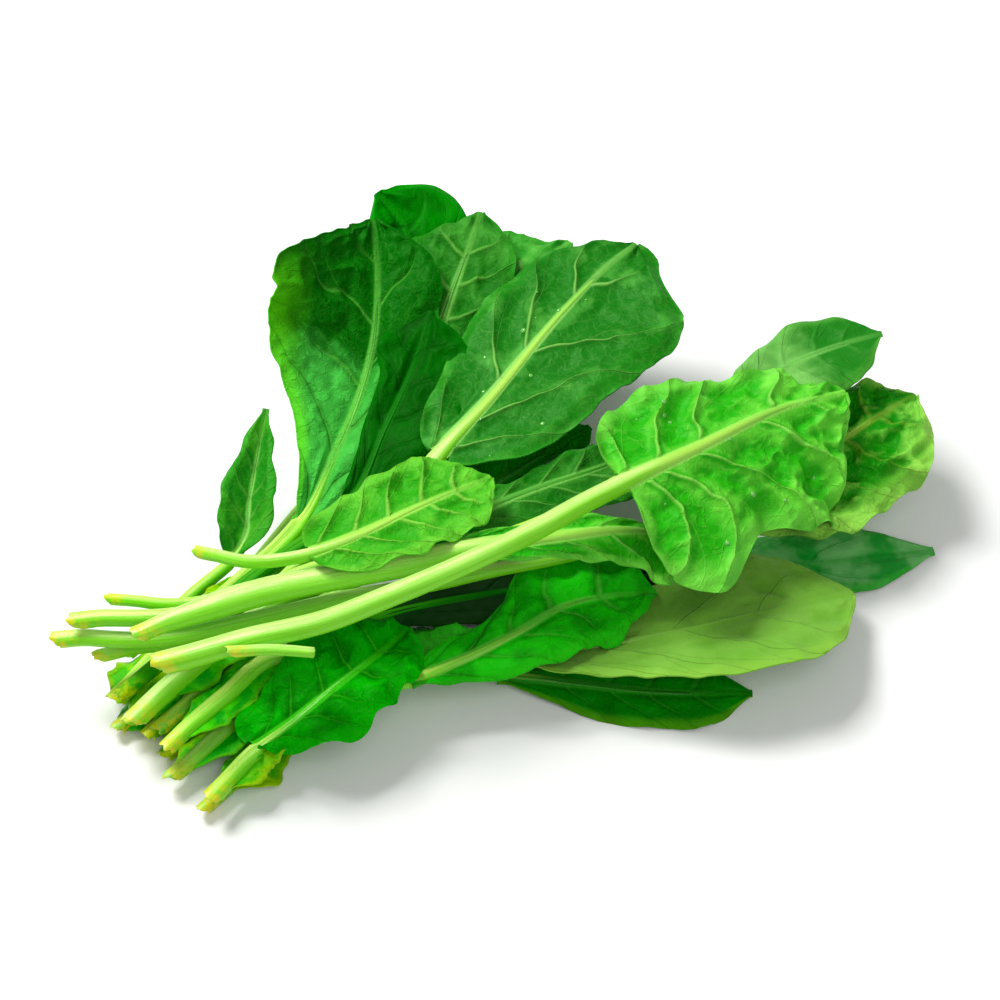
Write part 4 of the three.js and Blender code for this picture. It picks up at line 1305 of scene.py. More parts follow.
@dataclass
class Stalk:
    """A leaf's stalk with its midrib: a tube with a channel on its upper side, torn at the cut end.
    channel is its depth as a share of the radius and channel_width its width in radians, far is
    where the midrib ends on the blade, slim_run is how much of the stalk is slimmed to the cut,
    sway is its waver, overhang and tear shape the cut, and tear_run is how far back it reaches."""

    laid: LaidLeaf
    number: int
    channel: float = 0.3
    channel_width: float = 0.55
    far: float = 0.94
    slim_run: float = 34
    bare_share: float = 0.9
    sway: float = 0.8
    overhang: float = 0.9
    tear: float = 1.4
    tear_run: float = 9

    def stations(self) -> Stations:
        """Sets rings from the cut end to where the midrib sinks into the blade.

        Returns:
            The stations.
        """
        leaf, line = self.laid.leaf, self.laid.line
        petiole = line.length - leaf.blade
        end = petiole + leaf.blade * self.far if leaf.blade else line.length
        run = np.linspace(0, end, math.ceil(end / STALK_RING_STEP) + 1)
        thin = leaf.cut / 2 * PETIOLE_TAPER
        along = np.clip((run - petiole) / leaf.blade, 0, 1) if leaf.blade else run * 0
        radius = np.where(run < petiole, mix(leaf.cut / 2, thin, run / petiole), rib_radius(leaf, along))
        radius = radius * (1 - 0.7 * ease(0.7, self.far, along))
        cut_share = leaf.habit.cut_share if leaf.habit else self.bare_share
        radius = radius * mix(cut_share, 1, ease(0, self.slim_run, run))
        at = Stations.on(leaf, line, run / line.length, radius, along, blade_step(along))
        rows = self.laid.petiole_rows
        marks = np.append(np.arange(rows) / rows, 1) * petiole
        if leaf.blade:
            on_blade = leaf.blade * blade_along(np.arange(BLADE_ROWS + 1) / BLADE_ROWS)
            marks = np.concatenate([marks[:-1], petiole + on_blade])
        at.centre[:, 2] += np.interp(run, marks, self.laid.lift)
        wobble = Noise(SWAY_DRAW + self.number)
        sway = np.stack([wobble.at(run / 30, run * 0), wobble.at(run / 24, run * 0 + 9)], axis=1)
        fade = ((1 - along) * ease(0, 12, run))[:, None]
        at.centre += (sway[:, :1] * at.left + 0.5 * sway[:, 1:] * at.up) * self.sway * fade
        return at

    def skin(self) -> Skin:
        """Makes the closed tube.

        Returns:
            The tube, with its round coordinate and run for the finish, and its direction.
        """
        leaf, at = self.laid.leaf, self.stations()
        turn = 2 * np.pi * np.arange(STALK_SIDES) / STALK_SIDES
        looks_under = leaf.habit is not None and leaf.habit.face is Face.UNDER
        channel_at = -np.pi / 2 if looks_under else np.pi / 2
        off = np.angle(np.exp(1j * (turn - channel_at)))
        from_cut = np.linalg.norm(at.centre - at.centre[0], axis=1)
        depth = self.channel * ease(0, 25, from_cut) * (1 - 0.8 * at.along)
        dip = (0.06 + depth)[:, None] * np.exp(-((off / self.channel_width) ** 2))
        shape = 1 - dip + 0.05 * np.cos(2 * turn)
        shape = shape * (1 + 0.03 * np.cos(3 * turn + self.number))
        girth = at.radius[:, None] * shape
        cap_share, cap_in = (0.35, 0.8, 0.97), (0.5, 0.25, 0.0)
        torn = Noise(TEAR_DRAW + self.number).layered(turn * 1.9, turn * 0 + 3, 3)
        slant = -self.overhang * girth[0] * np.sin(turn) + self.tear * torn
        rings, radii, runs = [], [], []
        run = run_along(at.centre)

        def ring(i: int, share: float, forward: Array) -> None:
            """Adds a ring of points.

            Args:
                i: Its station.
                share: How far it is shrunk.
                forward: How far each point is moved along the stalk.
            """
            r = girth[i] * share
            out = at.left[i] * (r * np.cos(turn))[:, None] + at.up[i] * (r * np.sin(turn))[:, None]
            rings.append(at.centre[i] + out + at.ahead[i] * np.broadcast_to(forward, turn.shape)[:, None])
            radii.append(r)
            runs.append(np.full(STALK_SIDES, run[i]))

        for share, inward in zip(cap_share, cap_in):
            ring(0, share, slant * share + inward)
        ring(0, 1.0, slant + 0.25)
        for i in range(1, len(run)):
            ring(i, 1.0, slant * max(0.0, 1 - run[i] / self.tear_run))
        ring(len(run) - 1, 0.6, np.array(0.4))
        count = len(rings)
        each = np.arange(count * STALK_SIDES).reshape(count, STALK_SIDES)
        nxt = np.roll(each, -1, axis=1)
        sides = np.stack([each[:-1], nxt[:-1], nxt[1:], each[1:]], axis=2).reshape(-1, 4)
        points = np.concatenate(rings)
        first, last = len(points), len(points) + 1
        points = np.vstack([points, rings[0].mean(axis=0), rings[-1].mean(axis=0)])
        faces = sides.tolist() + [[first, b, a] for a, b in zip(each[0], nxt[0])]
        faces += [[last, a, b] for a, b in zip(each[-1], nxt[-1])]
        radius, run_at = np.concatenate(radii), np.concatenate(runs)
        round_x = np.append(radius * np.tile(np.cos(turn), count), [0, 0])
        round_y = np.append(radius * np.tile(np.sin(turn), count), [0, 0])
        run_at = np.append(run_at, [0, run[-1]])
        inner_cut = np.zeros(len(points))
        inner_cut[: 3 * STALK_SIDES] = 1
        inner_cut[first] = 1
        petiole = self.laid.line.length - leaf.blade
        midrib = np.clip((run_at - petiole) / max(leaf.blade, 1), 0, 1) if leaf.blade else run_at * 0
        ends = [0, 0, 0, *range(len(run)), -1]
        ahead = np.vstack([np.repeat(at.ahead[ends], STALK_SIDES, axis=0), at.ahead[[0, -1]]])
        return Skin(
            points, faces,
            {"run": run_at * MM, "midrib": midrib, "cut_face": inner_cut},
            {"round": np.stack([round_x, round_y, run_at], axis=1) * MM, "ahead": ahead},
        )

    def build(self, shift: Array, flutes: "FluteTree") -> Piece:
        """Makes the stalk, flutes it and dresses it.

        Args:
            shift: From the heap to the frame, in millimetres.
            flutes: What raises the flutes.

        Returns:
            The piece.
        """
        piece = self.skin().piece(f"{self.laid.leaf.name}_fine_stalk", shift)
        habit = self.laid.leaf.habit
        finish = habit.stem if habit else PALE_STALK
        flutes.apply(piece, StalkDress(finish).material(), seed=self.number)
        return piece


@dataclass(frozen=True)
class WingPlan:
    """A narrow wing of leaf that runs along a stalk: from where to where on the stalk, how wide it
    grows and how far it is raised, in millimetres and degrees. called ends its name."""

    leaf: str
    side: Side
    start: float
    end: float
    wide: float
    rise: float
    finish: LeafFinish
    called: str = "wing"


@dataclass
class Wing:
    """A thin wavy wing along a stalk, torn to a ragged margin. It grows from inside the stalk, at the
    share root of its radius. ragged, flutter and wave are the play in its width, slope and height."""

    laid: LaidLeaf
    number: int
    plan: WingPlan
    columns: int = 7
    step: float = 0.8
    root: float = 0.7
    ragged: float = 0.35
    flutter: float = 0.5
    wave: float = 0.7

    def skin(self) -> Skin:
        """Makes the wing's closed sheet.

        Returns:
            The sheet with what its finish reads.
        """
        plan, at = self.plan, Stalk(self.laid, self.number).stations()
        run_at = run_along(at.centre)
        rows = math.ceil((plan.end - plan.start) / self.step)
        run = np.linspace(plan.start, plan.end, rows + 1)

        def along(values: Array) -> Array:
            """Reads a station's values at each row."""
            flat = values.reshape(len(run_at), -1)
            return np.stack([np.interp(run, run_at, flat[:, k]) for k in range(flat.shape[1])], axis=1)

        noise = Noise(WING_DRAW + 10 * self.number + plan.side.value)
        share = np.linspace(0, 1, self.columns)[None, :]
        far = (run - plan.start) / (plan.end - plan.start)
        swell = np.sqrt(np.clip(1 - (2 * far - 1) ** 4, 0, 1)) * (0.25 + 0.75 * ease(0, 0.3, far))
        ragged = 1 + self.ragged * noise.layered(run / 5, run * 0, 3)
        width = (plan.wide * swell * np.maximum(ragged, 0.3))[:, None] * share
        turn = np.radians(plan.rise) + self.flutter * noise.at(run / 9, run * 0 + 4)[:, None] * share
        radius = along(at.radius)
        reach = radius * self.root + width * np.cos(turn)
        out = reach[..., None] * plan.side.value * along(at.left)[:, None]
        ripple = noise.layered(run[:, None] / 3.5 + 0 * share, share * 2 + 0 * run[:, None], 2)
        wave = self.wave * share * ripple
        upward = (width * np.sin(turn) + wave)[..., None] * along(at.up)[:, None]
        middle = along(at.centre)[:, None] + out + upward
        half = -plan.side.value * SHEET / 2 * normals_of(middle)
        share = np.broadcast_to(share, width.shape)
        place = np.broadcast_to(run[:, None], width.shape)
        flat = np.stack([place, width], axis=2).reshape(-1, 2) * MM
        relief = 0.5 + 0.4 * noise.layered(place / 4, width / 2, 2)
        level = np.ones_like(width)
        twice = {
            "share": share, "across": width + 20, "tip": 0.6 * level, "relief": relief, "is_upper": level,
        }
        faces = sheet_faces(*width.shape)
        return Skin(
            np.concatenate([(middle + half).reshape(-1, 3), (middle - half).reshape(-1, 3)]),
            faces if plan.side is Side.RIGHT else faces[:, ::-1],
            {key: np.concatenate([v.ravel(), v.ravel()]) for key, v in twice.items()},
            {},
            np.concatenate([flat, flat]),
        )

    def build(self, shift: Array) -> Piece:
        """Makes the wing and dresses it.

        Args:
            shift: From the heap to the frame, in millimetres.

        Returns:
            The piece.
        """
        plan = self.plan
        piece = self.skin().piece(f"{plan.leaf}_{plan.side.name.lower()}_{plan.called}", shift)
        piece.data.materials.append(LeafDress(plan.finish).material())
        return piece


LEAF_SHEEN = (0.45, 1.0, 0.35, 1.0)
STALK_SHEEN = (0.85, 1.0, 0.6, 1.0)
# A near black green, painted on a blade's base as shadow.
PAINTED_SHADOW = (0, 26, 0)
COLOUR_MIX_INPUTS = (0, 6, 7)  # a Mix node's factor and two colours
COLOUR_MIX_OUTPUT = 2
PER_METRE = 1000.0  # over a size in millimetres, the scale of a pattern of that size


class Nodes:
    """A node tree in the making, with short calls to add and join nodes."""

    def __init__(self, tree: bpy.types.NodeTree) -> None:
        """Takes the tree and empties it."""
        self.tree = tree
        tree.nodes.clear()

    def add(self, kind: str, **settings: object) -> bpy.types.Node:
        """Adds a node.

        Args:
            kind: The node's type.
            **settings: Its properties.

        Returns:
            The node.
        """
        node = self.tree.nodes.new(kind)
        for key, value in settings.items():
            setattr(node, key, value)
        return node

    def put(self, socket: Socket, value: object) -> None:
        """Joins or sets an input.

        Args:
            socket: The input.
            value: What feeds it: a socket or a plain value.
        """
        if isinstance(value, Socket):
            self.tree.links.new(value, socket)
        else:
            socket.default_value = value

    def feed(self, node: bpy.types.Node, inputs: dict[object, object]) -> bpy.types.Node:
        """Joins or sets inputs of a node.

        Args:
            node: The node.
            inputs: What goes in, by the socket's name or number.

        Returns:
            The node.
        """
        for key, value in inputs.items():
            self.put(node.inputs[key], value)
        return node

    def fed(self, kind: str, inputs: dict[object, object], **settings: object) -> bpy.types.Node:
        """Adds a node with what goes into it and its properties."""
        return self.feed(self.add(kind, **settings), inputs)

    def math(self, operation: str, *values: object, clamp: bool = False) -> Socket:
        """Adds a Math node on numbers or sockets."""
        inputs = dict(enumerate(values))
        return self.fed("ShaderNodeMath", inputs, operation=operation, use_clamp=clamp).outputs[0]

    def plus(self, a: object, b: object, clamp: bool = False) -> Socket:
        """Adds two numbers."""
        return self.math("ADD", a, b, clamp=clamp)

    def minus(self, a: object, b: object, clamp: bool = False) -> Socket:
        """Takes the second number from the first."""
        return self.math("SUBTRACT", a, b, clamp=clamp)

    def times(self, a: object, b: object) -> Socket:
        """Multiplies two numbers."""
        return self.math("MULTIPLY", a, b)

    def scaled(self, value: object, factor: object, offset: object, clamp: bool = False) -> Socket:
        """Multiplies a number and adds an offset."""
        return self.math("MULTIPLY_ADD", value, factor, offset, clamp=clamp)

    def length(self, x: object, y: object) -> Socket:
        """Gives the length of a flat vector."""
        return self.math("SQRT", self.plus(self.times(x, x), self.times(y, y)))

    def blend(self, factor: object, a: object, b: object) -> Socket:
        """Mixes two colours, each a socket or a display colour.

        Args:
            factor: The share of the second.
            a: The first.
            b: The second.

        Returns:
            The mixed colour.
        """
        first, second = (srgb(*c) if isinstance(c, tuple) else c for c in (a, b))
        inputs = dict(zip(COLOUR_MIX_INPUTS, (factor, first, second)))
        return self.fed("ShaderNodeMix", inputs, data_type="RGBA").outputs[COLOUR_MIX_OUTPUT]

    def fade(
        self, value: object, low: object, high: object, start: float = 0.0, end: float = 1.0
    ) -> Socket:
        """Goes smoothly from start to end as value goes from low to high."""
        inputs = dict(enumerate((value, low, high, start, end)))
        return self.fed("ShaderNodeMapRange", inputs, interpolation_type="SMOOTHSTEP").outputs[0]

    def read(self, name: str, output: str = "Fac") -> Socket:
        """Reads one of the mesh's own attributes."""
        return self.add("ShaderNodeAttribute", attribute_name=name).outputs[output]

    def noise(
        self, vector: object, scale: object, detail: float = 3.0, rough: float = 0.55
    ) -> Socket:
        """Adds a noise pattern of so many layers, the finer ones rough times as strong."""
        inputs = {"Vector": vector, "Scale": scale, "Detail": detail, "Roughness": rough}
        return self.fed("ShaderNodeTexNoise", inputs).outputs["Fac"]


def shader_group(name: str, inputs: dict[str, object], outputs: tuple[str, ...]) -> tuple[Nodes, dict, dict]:
    """Starts a shared shader group.

    Args:
        name: The group's name.
        inputs: Names and first values; a value of None makes a vector.
        outputs: Names of the numbers that it puts out.

    Returns:
        The tree in the making, its input sockets and its output sockets by name.
    """
    group = bpy.data.node_groups.new(name, "ShaderNodeTree")
    for key, value in inputs.items():
        kind = "NodeSocketVector" if value is None else "NodeSocketFloat"
        socket = group.interface.new_socket(name=key, in_out="INPUT", socket_type=kind)
        if value is not None:
            socket.default_value = value
    for key in outputs:
        group.interface.new_socket(name=key, in_out="OUTPUT", socket_type="NodeSocketFloat")
    nodes = Nodes(group)
    given, taken = nodes.add("NodeGroupInput"), nodes.add("NodeGroupOutput")
    return nodes, {k: given.outputs[k] for k in inputs}, {k: taken.inputs[k] for k in outputs}


def placed(nodes: Nodes, name: str, builder: object, values: dict[str, object]) -> bpy.types.Node:
    """Places a shared group in a material, building it the first time."""
    group = bpy.data.node_groups.get(name) or builder(name)
    return nodes.fed("ShaderNodeGroup", values, node_tree=group)


def vein_group(name: str) -> bpy.types.NodeTree:
    """Builds the group that draws side veins and their branches.

    Args:
        name: The group's name.

    Returns:
        The group, which reads the count of veins passed.
    """
    given = {"Phase": 0.0, "Space": 12.0, "Share": 0.0, "Width": 0.6}
    nodes, at, out = shader_group(name, given, ("Veins", "Branches"))

    def line(distance: object, width: object) -> Socket:
        """Draws a soft line, of a width in millimetres, where the distance in veins is small."""
        gap = nodes.times(nodes.times(distance, at["Space"]), VEIN_SLANT)
        return nodes.minus(1.0, nodes.fade(nodes.math("DIVIDE", gap, width), 0.1, 1.5))

    width = nodes.times(at["Width"], nodes.fade(at["Share"], 0.0, 0.9, 1.25, 0.4))
    half = nodes.minus(nodes.math("FRACT", nodes.plus(at["Phase"], 0.5)), 0.5)
    nodes.put(out["Veins"], line(nodes.math("ABSOLUTE", half), width))
    part = nodes.math("FRACT", at["Phase"])
    thin = nodes.times(width, 0.6)
    branches = []
    for start, low, reach in ((0.3, 0.0, 0.55), (0.55, 1.0, -0.5)):
        out_by = nodes.math("DIVIDE", nodes.minus(at["Share"], start), 1 - start, clamp=True)
        bow = nodes.math("POWER", out_by, 0.8)
        target = nodes.plus(nodes.times(bow, reach), low)
        apart = nodes.math("ABSOLUTE", nodes.minus(part, target))
        drawn = nodes.times(line(apart, thin), nodes.fade(at["Share"], start, start + 0.06))
        branches.append(drawn)
    nodes.put(out["Branches"], nodes.math("MAXIMUM", *branches))
    return nodes.tree


def net_group(name: str) -> bpy.types.NodeTree:
    """Builds the group that draws the net between veins, the flesh's crinkled folds and its grain. The leaf's
    material bumps the folds and darkens their creases as painted shade.

    Args:
        name: The group's name.

    Returns:
        The group.
    """
    given = {"Flat": None, "Cell": 4.0, "Crinkle": 5.0, "Grain": 0.8}
    nodes, at, out = shader_group(name, given, ("Net", "Crinkle", "Grain"))
    warp = nodes.fed("ShaderNodeTexNoise", {"Vector": at["Flat"], "Scale": 220.0}, noise_dimensions="2D")
    moved = nodes.fed(
        "ShaderNodeVectorMath", {0: warp.outputs["Color"], 1: (0.005, 0.005, 0.0), 2: at["Flat"]},
        operation="MULTIPLY_ADD",
    ).outputs[0]
    edge = nodes.fed(
        "ShaderNodeTexVoronoi", {"Vector": moved, "Scale": nodes.math("DIVIDE", PER_METRE, at["Cell"])},
        feature="DISTANCE_TO_EDGE", voronoi_dimensions="2D",
    )
    nodes.put(out["Net"], nodes.fade(edge.outputs["Distance"], 0.0, 0.14, 1.0, 0.0))
    folds = nodes.noise(moved, nodes.math("DIVIDE", PER_METRE, at["Crinkle"]), 3.0, 0.6)
    folded = nodes.math("ABSOLUTE", nodes.scaled(folds, 2.0, -1.0))
    nodes.put(out["Crinkle"], nodes.fade(folded, 0.0, 0.45))
    nodes.put(out["Grain"], nodes.noise(at["Flat"], nodes.math("DIVIDE", PER_METRE, at["Grain"]), 2.0))
    return nodes.tree


def mottle_group(name: str) -> bpy.types.NodeTree:
    """Builds the group that shifts a colour or a gloss in broad and small patches.

    Args:
        name: The group's name.

    Returns:
        The group.
    """
    nodes, at, out = shader_group(name, {"Place": None, "Size": 18.0, "Contrast": 0.5}, ("Patch", "Speck"))
    scale = nodes.math("DIVIDE", PER_METRE, at["Size"])
    broad = nodes.noise(at["Place"], scale, 3.0, 0.6)
    low = nodes.scaled(at["Contrast"], -0.2, 0.5)
    high = nodes.scaled(at["Contrast"], 0.2, 0.5)
    nodes.put(out["Patch"], nodes.fade(broad, low, high))
    nodes.put(out["Speck"], nodes.noise(at["Place"], nodes.times(scale, 8.0), 2.0))
    return nodes.tree


def shader_base(name: str) -> tuple[Material, Nodes, bpy.types.Node]:
    """Starts a material: a Principled shader joined to the output.

    Args:
        name: The material's name.

    Returns:
        The material, its nodes and the shader.
    """
    material = bpy.data.materials.new(name)
    material.use_nodes = True
    nodes = Nodes(material.node_tree)
    shader, output = nodes.add("ShaderNodeBsdfPrincipled"), nodes.add("ShaderNodeOutputMaterial")
    nodes.put(output.inputs["Surface"], shader.outputs[0])
    return material, nodes, shader


def bump(nodes: Nodes, height: object, distance: float) -> Socket:
    """Turns a height into a normal. A height of 1 stands for the distance, in metres."""
    inputs = {"Height": height, "Distance": distance, "Strength": 1.0}
    return nodes.fed("ShaderNodeBump", inputs).outputs["Normal"]


@dataclass(frozen=True)
class LeafDress:
    """The material of a blade's flesh: two faces, veins, net, patches and a waxy gloss, with painted
    shade in hollows, creases, beside veins and toward the tip, a painted shadow over the bluish
    leaf's base and a painted backlit glow on the cupped leaf's left margin.
    """

    finish: LeafFinish

    def material(self) -> Material:
        """Gives the material, made the first time.

        Returns:
            The material.
        """
        f = self.finish
        if f.name in bpy.data.materials:
            return bpy.data.materials[f.name]
        material, nodes, shader = shader_base(f.name)
        place = nodes.add("ShaderNodeTexCoord").outputs["Object"]
        flat = nodes.add("ShaderNodeUVMap", uv_map="leaf").outputs[0]
        upper, share, across, tip, relief = (
            nodes.read(k) for k in ("is_upper", "share", "across", "tip", "relief")
        )
        veins = placed(nodes, "side veins", vein_group, {
            "Phase": nodes.read("vein_phase"), "Space": nodes.read("vein_space"), "Share": share,
            "Width": f.vein_width,
        })
        net = placed(nodes, "leaf net", net_group, {"Flat": flat, "Cell": 3.6})
        patches = placed(nodes, "mottle", mottle_group, {"Place": place, "Size": 15.0, "Contrast": 0.6})
        # shade gathers the random dark patches and the painted shade. Here flesh that lies low in its relief
        # is darkened as painted shade.
        hollow = nodes.times(nodes.fade(relief, 0.62, 0.22), f.hollow)
        shade = nodes.scaled(patches.outputs["Patch"], f.blotch, hollow)
        # Painted shade along the creases of the crinkles; the same strength also sets the crinkles' bump
        # below.
        shade = nodes.plus(shade, nodes.fade(net.outputs["Crinkle"], 0.0, 1.0, 0.4 * f.crinkle, 0.0))
        # Painted shade in a band beside each vein, as if cast by the raised vein.
        beside = nodes.minus(nodes.math("FRACT", nodes.plus(nodes.read("vein_phase"), 0.5)), 0.5)
        beside = nodes.times(nodes.math("ABSOLUTE", beside), nodes.read("vein_space"))
        flank = nodes.fade(beside, 0.6, 3.6, f.flank, 0.0)
        shade = nodes.plus(shade, nodes.times(flank, nodes.fade(share, 0.1, 1.0, 1.0, 0.0)))
        # Painted shade toward the tip, as on the cupped leaf's top that turns away from the light.
        shade = nodes.plus(shade, nodes.fade(tip, 0.4, 0.72, 0.0, f.tip_dark), clamp=True)
        flesh = nodes.blend(
            upper, nodes.blend(shade, f.under, f.under_shade), nodes.blend(shade, f.upper, f.upper_shade)
        )
        margin = nodes.fade(share, f.edge_from - 0.3, min(1.0, f.edge_from + 0.12), 0.0, f.edge_strength)
        # Painted backlight: on the cupped leaf the edge colour glows on the left margin only.
        if f.left_edge_only:
            margin = nodes.times(margin, nodes.fade(across, 0.0, 8.0))
            margin = nodes.times(margin, nodes.fade(tip, 0.9, 0.6))
        flesh = nodes.blend(margin, flesh, f.edge)
        from_rib = nodes.minus(nodes.math("ABSOLUTE", across), nodes.read("rib"))
        rib = nodes.fade(from_rib, 0.0, 1.1, 1.0, 0.0)
        rib = nodes.times(rib, nodes.fade(tip, 0.5, 1.0, 0.85, 0.2))
        branches = nodes.times(veins.outputs["Branches"], 0.4)
        lines = nodes.math("MAXIMUM", veins.outputs["Veins"], branches)
        lines = nodes.times(lines, nodes.fade(tip, 0.8, 0.94, 1.0, 0.0))
        lines = nodes.times(lines, nodes.fade(tip, 0.0, 0.08))
        strength = nodes.fade(share, 0.0, 1.0, f.vein_strength, 0.35 * f.vein_strength)
        drawn = nodes.times(lines, strength)
        drawn = nodes.math("MAXIMUM", drawn, nodes.times(net.outputs["Net"], f.net))
        flesh = nodes.blend(nodes.math("MAXIMUM", drawn, rib), flesh, f.vein)
        # Painted shadow: the base of the blade is darkened to near black where it lies in the gap under the
        # stalks.
        if f.dusk:
            flesh = nodes.blend(nodes.fade(tip, 0.5, 0.66, f.dusk, 0.0), flesh, PAINTED_SHADOW)
        rough = nodes.scaled(patches.outputs["Speck"], 0.16, f.gloss - 0.04)
        rough = nodes.plus(rough, nodes.fade(upper, 0, 1, 0.06, 0.0))
        raised = nodes.fade(upper, 0, 1, 0.5, -0.4)
        high = nodes.plus(lines, nodes.times(net.outputs["Net"], 0.12))
        high = nodes.times(high, raised)
        high = nodes.scaled(net.outputs["Crinkle"], f.crinkle, high)
        high = nodes.scaled(net.outputs["Grain"], 0.08, high)
        nodes.feed(shader, {
            "Base Color": flesh, "Roughness": rough, "Normal": bump(nodes, high, 0.55 * MM),
            "Specular IOR Level": f.shine, "Specular Tint": LEAF_SHEEN,
        })
        return material


@dataclass(frozen=True)
class StalkDress:
    """The material of a stalk: long streaks, a wet cut end and a midrib that goes into the leaf, with a
    painted highlight along its lit top and painted shade down its sides.
    """

    finish: StalkFinish

    def material(self) -> Material:
        """Gives the material, made the first time.

        Returns:
            The material.
        """
        f = self.finish
        if f.name in bpy.data.materials:
            return bpy.data.materials[f.name]
        material, nodes, shader = shader_base(f.name)
        place = nodes.add("ShaderNodeTexCoord").outputs["Object"]
        round_at = nodes.read("round", "Vector")
        drawn_out = {0: round_at, 1: (1.0, 1.0, 0.035)}
        along = nodes.fed("ShaderNodeVectorMath", drawn_out, operation="MULTIPLY").outputs[0]
        streaks = nodes.noise(along, 900.0)
        patches = placed(nodes, "mottle", mottle_group, {"Place": place, "Size": 22.0, "Contrast": 0.8})
        run, midrib, cut = nodes.read("run"), nodes.read("midrib"), nodes.read("cut_face")
        streaked = nodes.times(nodes.fade(streaks, 0.42, 0.7), 0.5)
        streaked = nodes.scaled(patches.outputs["Patch"], 0.25, streaked, clamp=True)
        x, y, _ = nodes.fed("ShaderNodeSeparateXYZ", {0: round_at}).outputs
        girth = nodes.length(x, y)
        # Painted light: the side of the stalk that faces up and to its left, toward the key lamp, takes the
        # pale colour as a painted highlight, and its sides take the streak colour as painted shade.
        crown = nodes.scaled(x, 0.6, nodes.times(y, 0.8))
        crown = nodes.math("DIVIDE", crown, nodes.math("MAXIMUM", girth, 0.1 * MM))
        flank = nodes.fade(crown, 0.1, 0.97, 0.95, 0.0)
        streaked = nodes.scaled(streaked, nodes.minus(1.0, flank), flank)
        flesh = nodes.blend(streaked, f.pale, f.streak)
        flesh = nodes.blend(nodes.fade(midrib, 0.0, 0.25), flesh, f.midrib)
        flesh = nodes.blend(nodes.fade(midrib, 0.35, 0.85), flesh, f.tip)
        bruised = nodes.fade(run, 0.0, f.aged * MM, 1.0, 0.0)
        bruised = nodes.times(bruised, nodes.fade(patches.outputs["Speck"], 0.35, 0.6))
        flesh = nodes.blend(bruised, flesh, f.cut)
        flesh = nodes.blend(nodes.times(cut, 0.8), flesh, f.heart)
        rough = nodes.scaled(streaks, 0.2, f.gloss - 0.1)
        grain = nodes.noise(place, 1600.0, 2.0)
        high = nodes.scaled(grain, 0.3, nodes.times(streaks, 0.8))
        nodes.feed(shader, {
            "Base Color": flesh, "Roughness": rough, "Normal": bump(nodes, high, 0.35 * MM),
            "Specular IOR Level": f.shine, "Specular Tint": STALK_SHEEN,
        })
        return material


class GrowthTree:
    """A Geometry Nodes tree with named inputs that is applied to a piece and then removed."""

    def __init__(self, name: str, inputs: dict[str, tuple[str, object]]) -> None:
        """Starts the tree.

        Args:
            name: The tree's name.
            inputs: Names, kinds of socket and first values of what a user sets.
        """
        self.tree = bpy.data.node_groups.new(name, "GeometryNodeTree")
        self.tree.interface.new_socket(name="Geometry", in_out="INPUT", socket_type="NodeSocketGeometry")
        self.tree.interface.new_socket(name="Geometry", in_out="OUTPUT", socket_type="NodeSocketGeometry")
        self.keys: dict[str, str] = {}
        for key, (kind, value) in inputs.items():
            socket = self.tree.interface.new_socket(name=key, in_out="INPUT", socket_type=f"NodeSocket{kind}")
            if value is not None:
                socket.default_value = value
            self.keys[key] = socket.identifier
        self.nodes = Nodes(self.tree)
        self.given, self.taken = self.nodes.add("NodeGroupInput"), self.nodes.add("NodeGroupOutput")

    def chain(self, *steps: tuple[str, dict[str, object]], start: object = None) -> None:
        """Runs a geometry through nodes one after another, and puts it out.

        Args:
            *steps: Kinds of node, each with its inputs.
            start: The geometry, or nothing for the one that the tree is given.
        """
        flow = start or self.given.outputs["Geometry"]
        for kind, values in steps:
            flow = self.nodes.fed(kind, {0: flow, **values}).outputs[0]
        self.nodes.put(self.taken.inputs[0], flow)

    def attribute(self, name: str, kind: str = "FLOAT") -> Socket:
        """Reads a named attribute of the geometry."""
        node = self.nodes.fed("GeometryNodeInputNamedAttribute", {"Name": name}, data_type=kind)
        return node.outputs["Attribute"]

    def grown(self, piece: Piece, values: dict[str, object]) -> None:
        """Applies the tree to a piece and leaves a plain mesh.

        Args:
            piece: The piece.
            values: What to set, by the inputs' names.
        """
        modifier = piece.modifiers.new(self.tree.name, "NODES")
        modifier.node_group = self.tree
        for key, value in values.items():
            modifier[self.keys[key]] = value
        depsgraph = bpy.context.evaluated_depsgraph_get()
        mesh = bpy.data.meshes.new_from_object(piece.evaluated_get(depsgraph))
        piece.modifiers.remove(modifier)
        before, piece.data = piece.data, mesh
        mesh.name = piece.name
        bpy.data.meshes.remove(before)


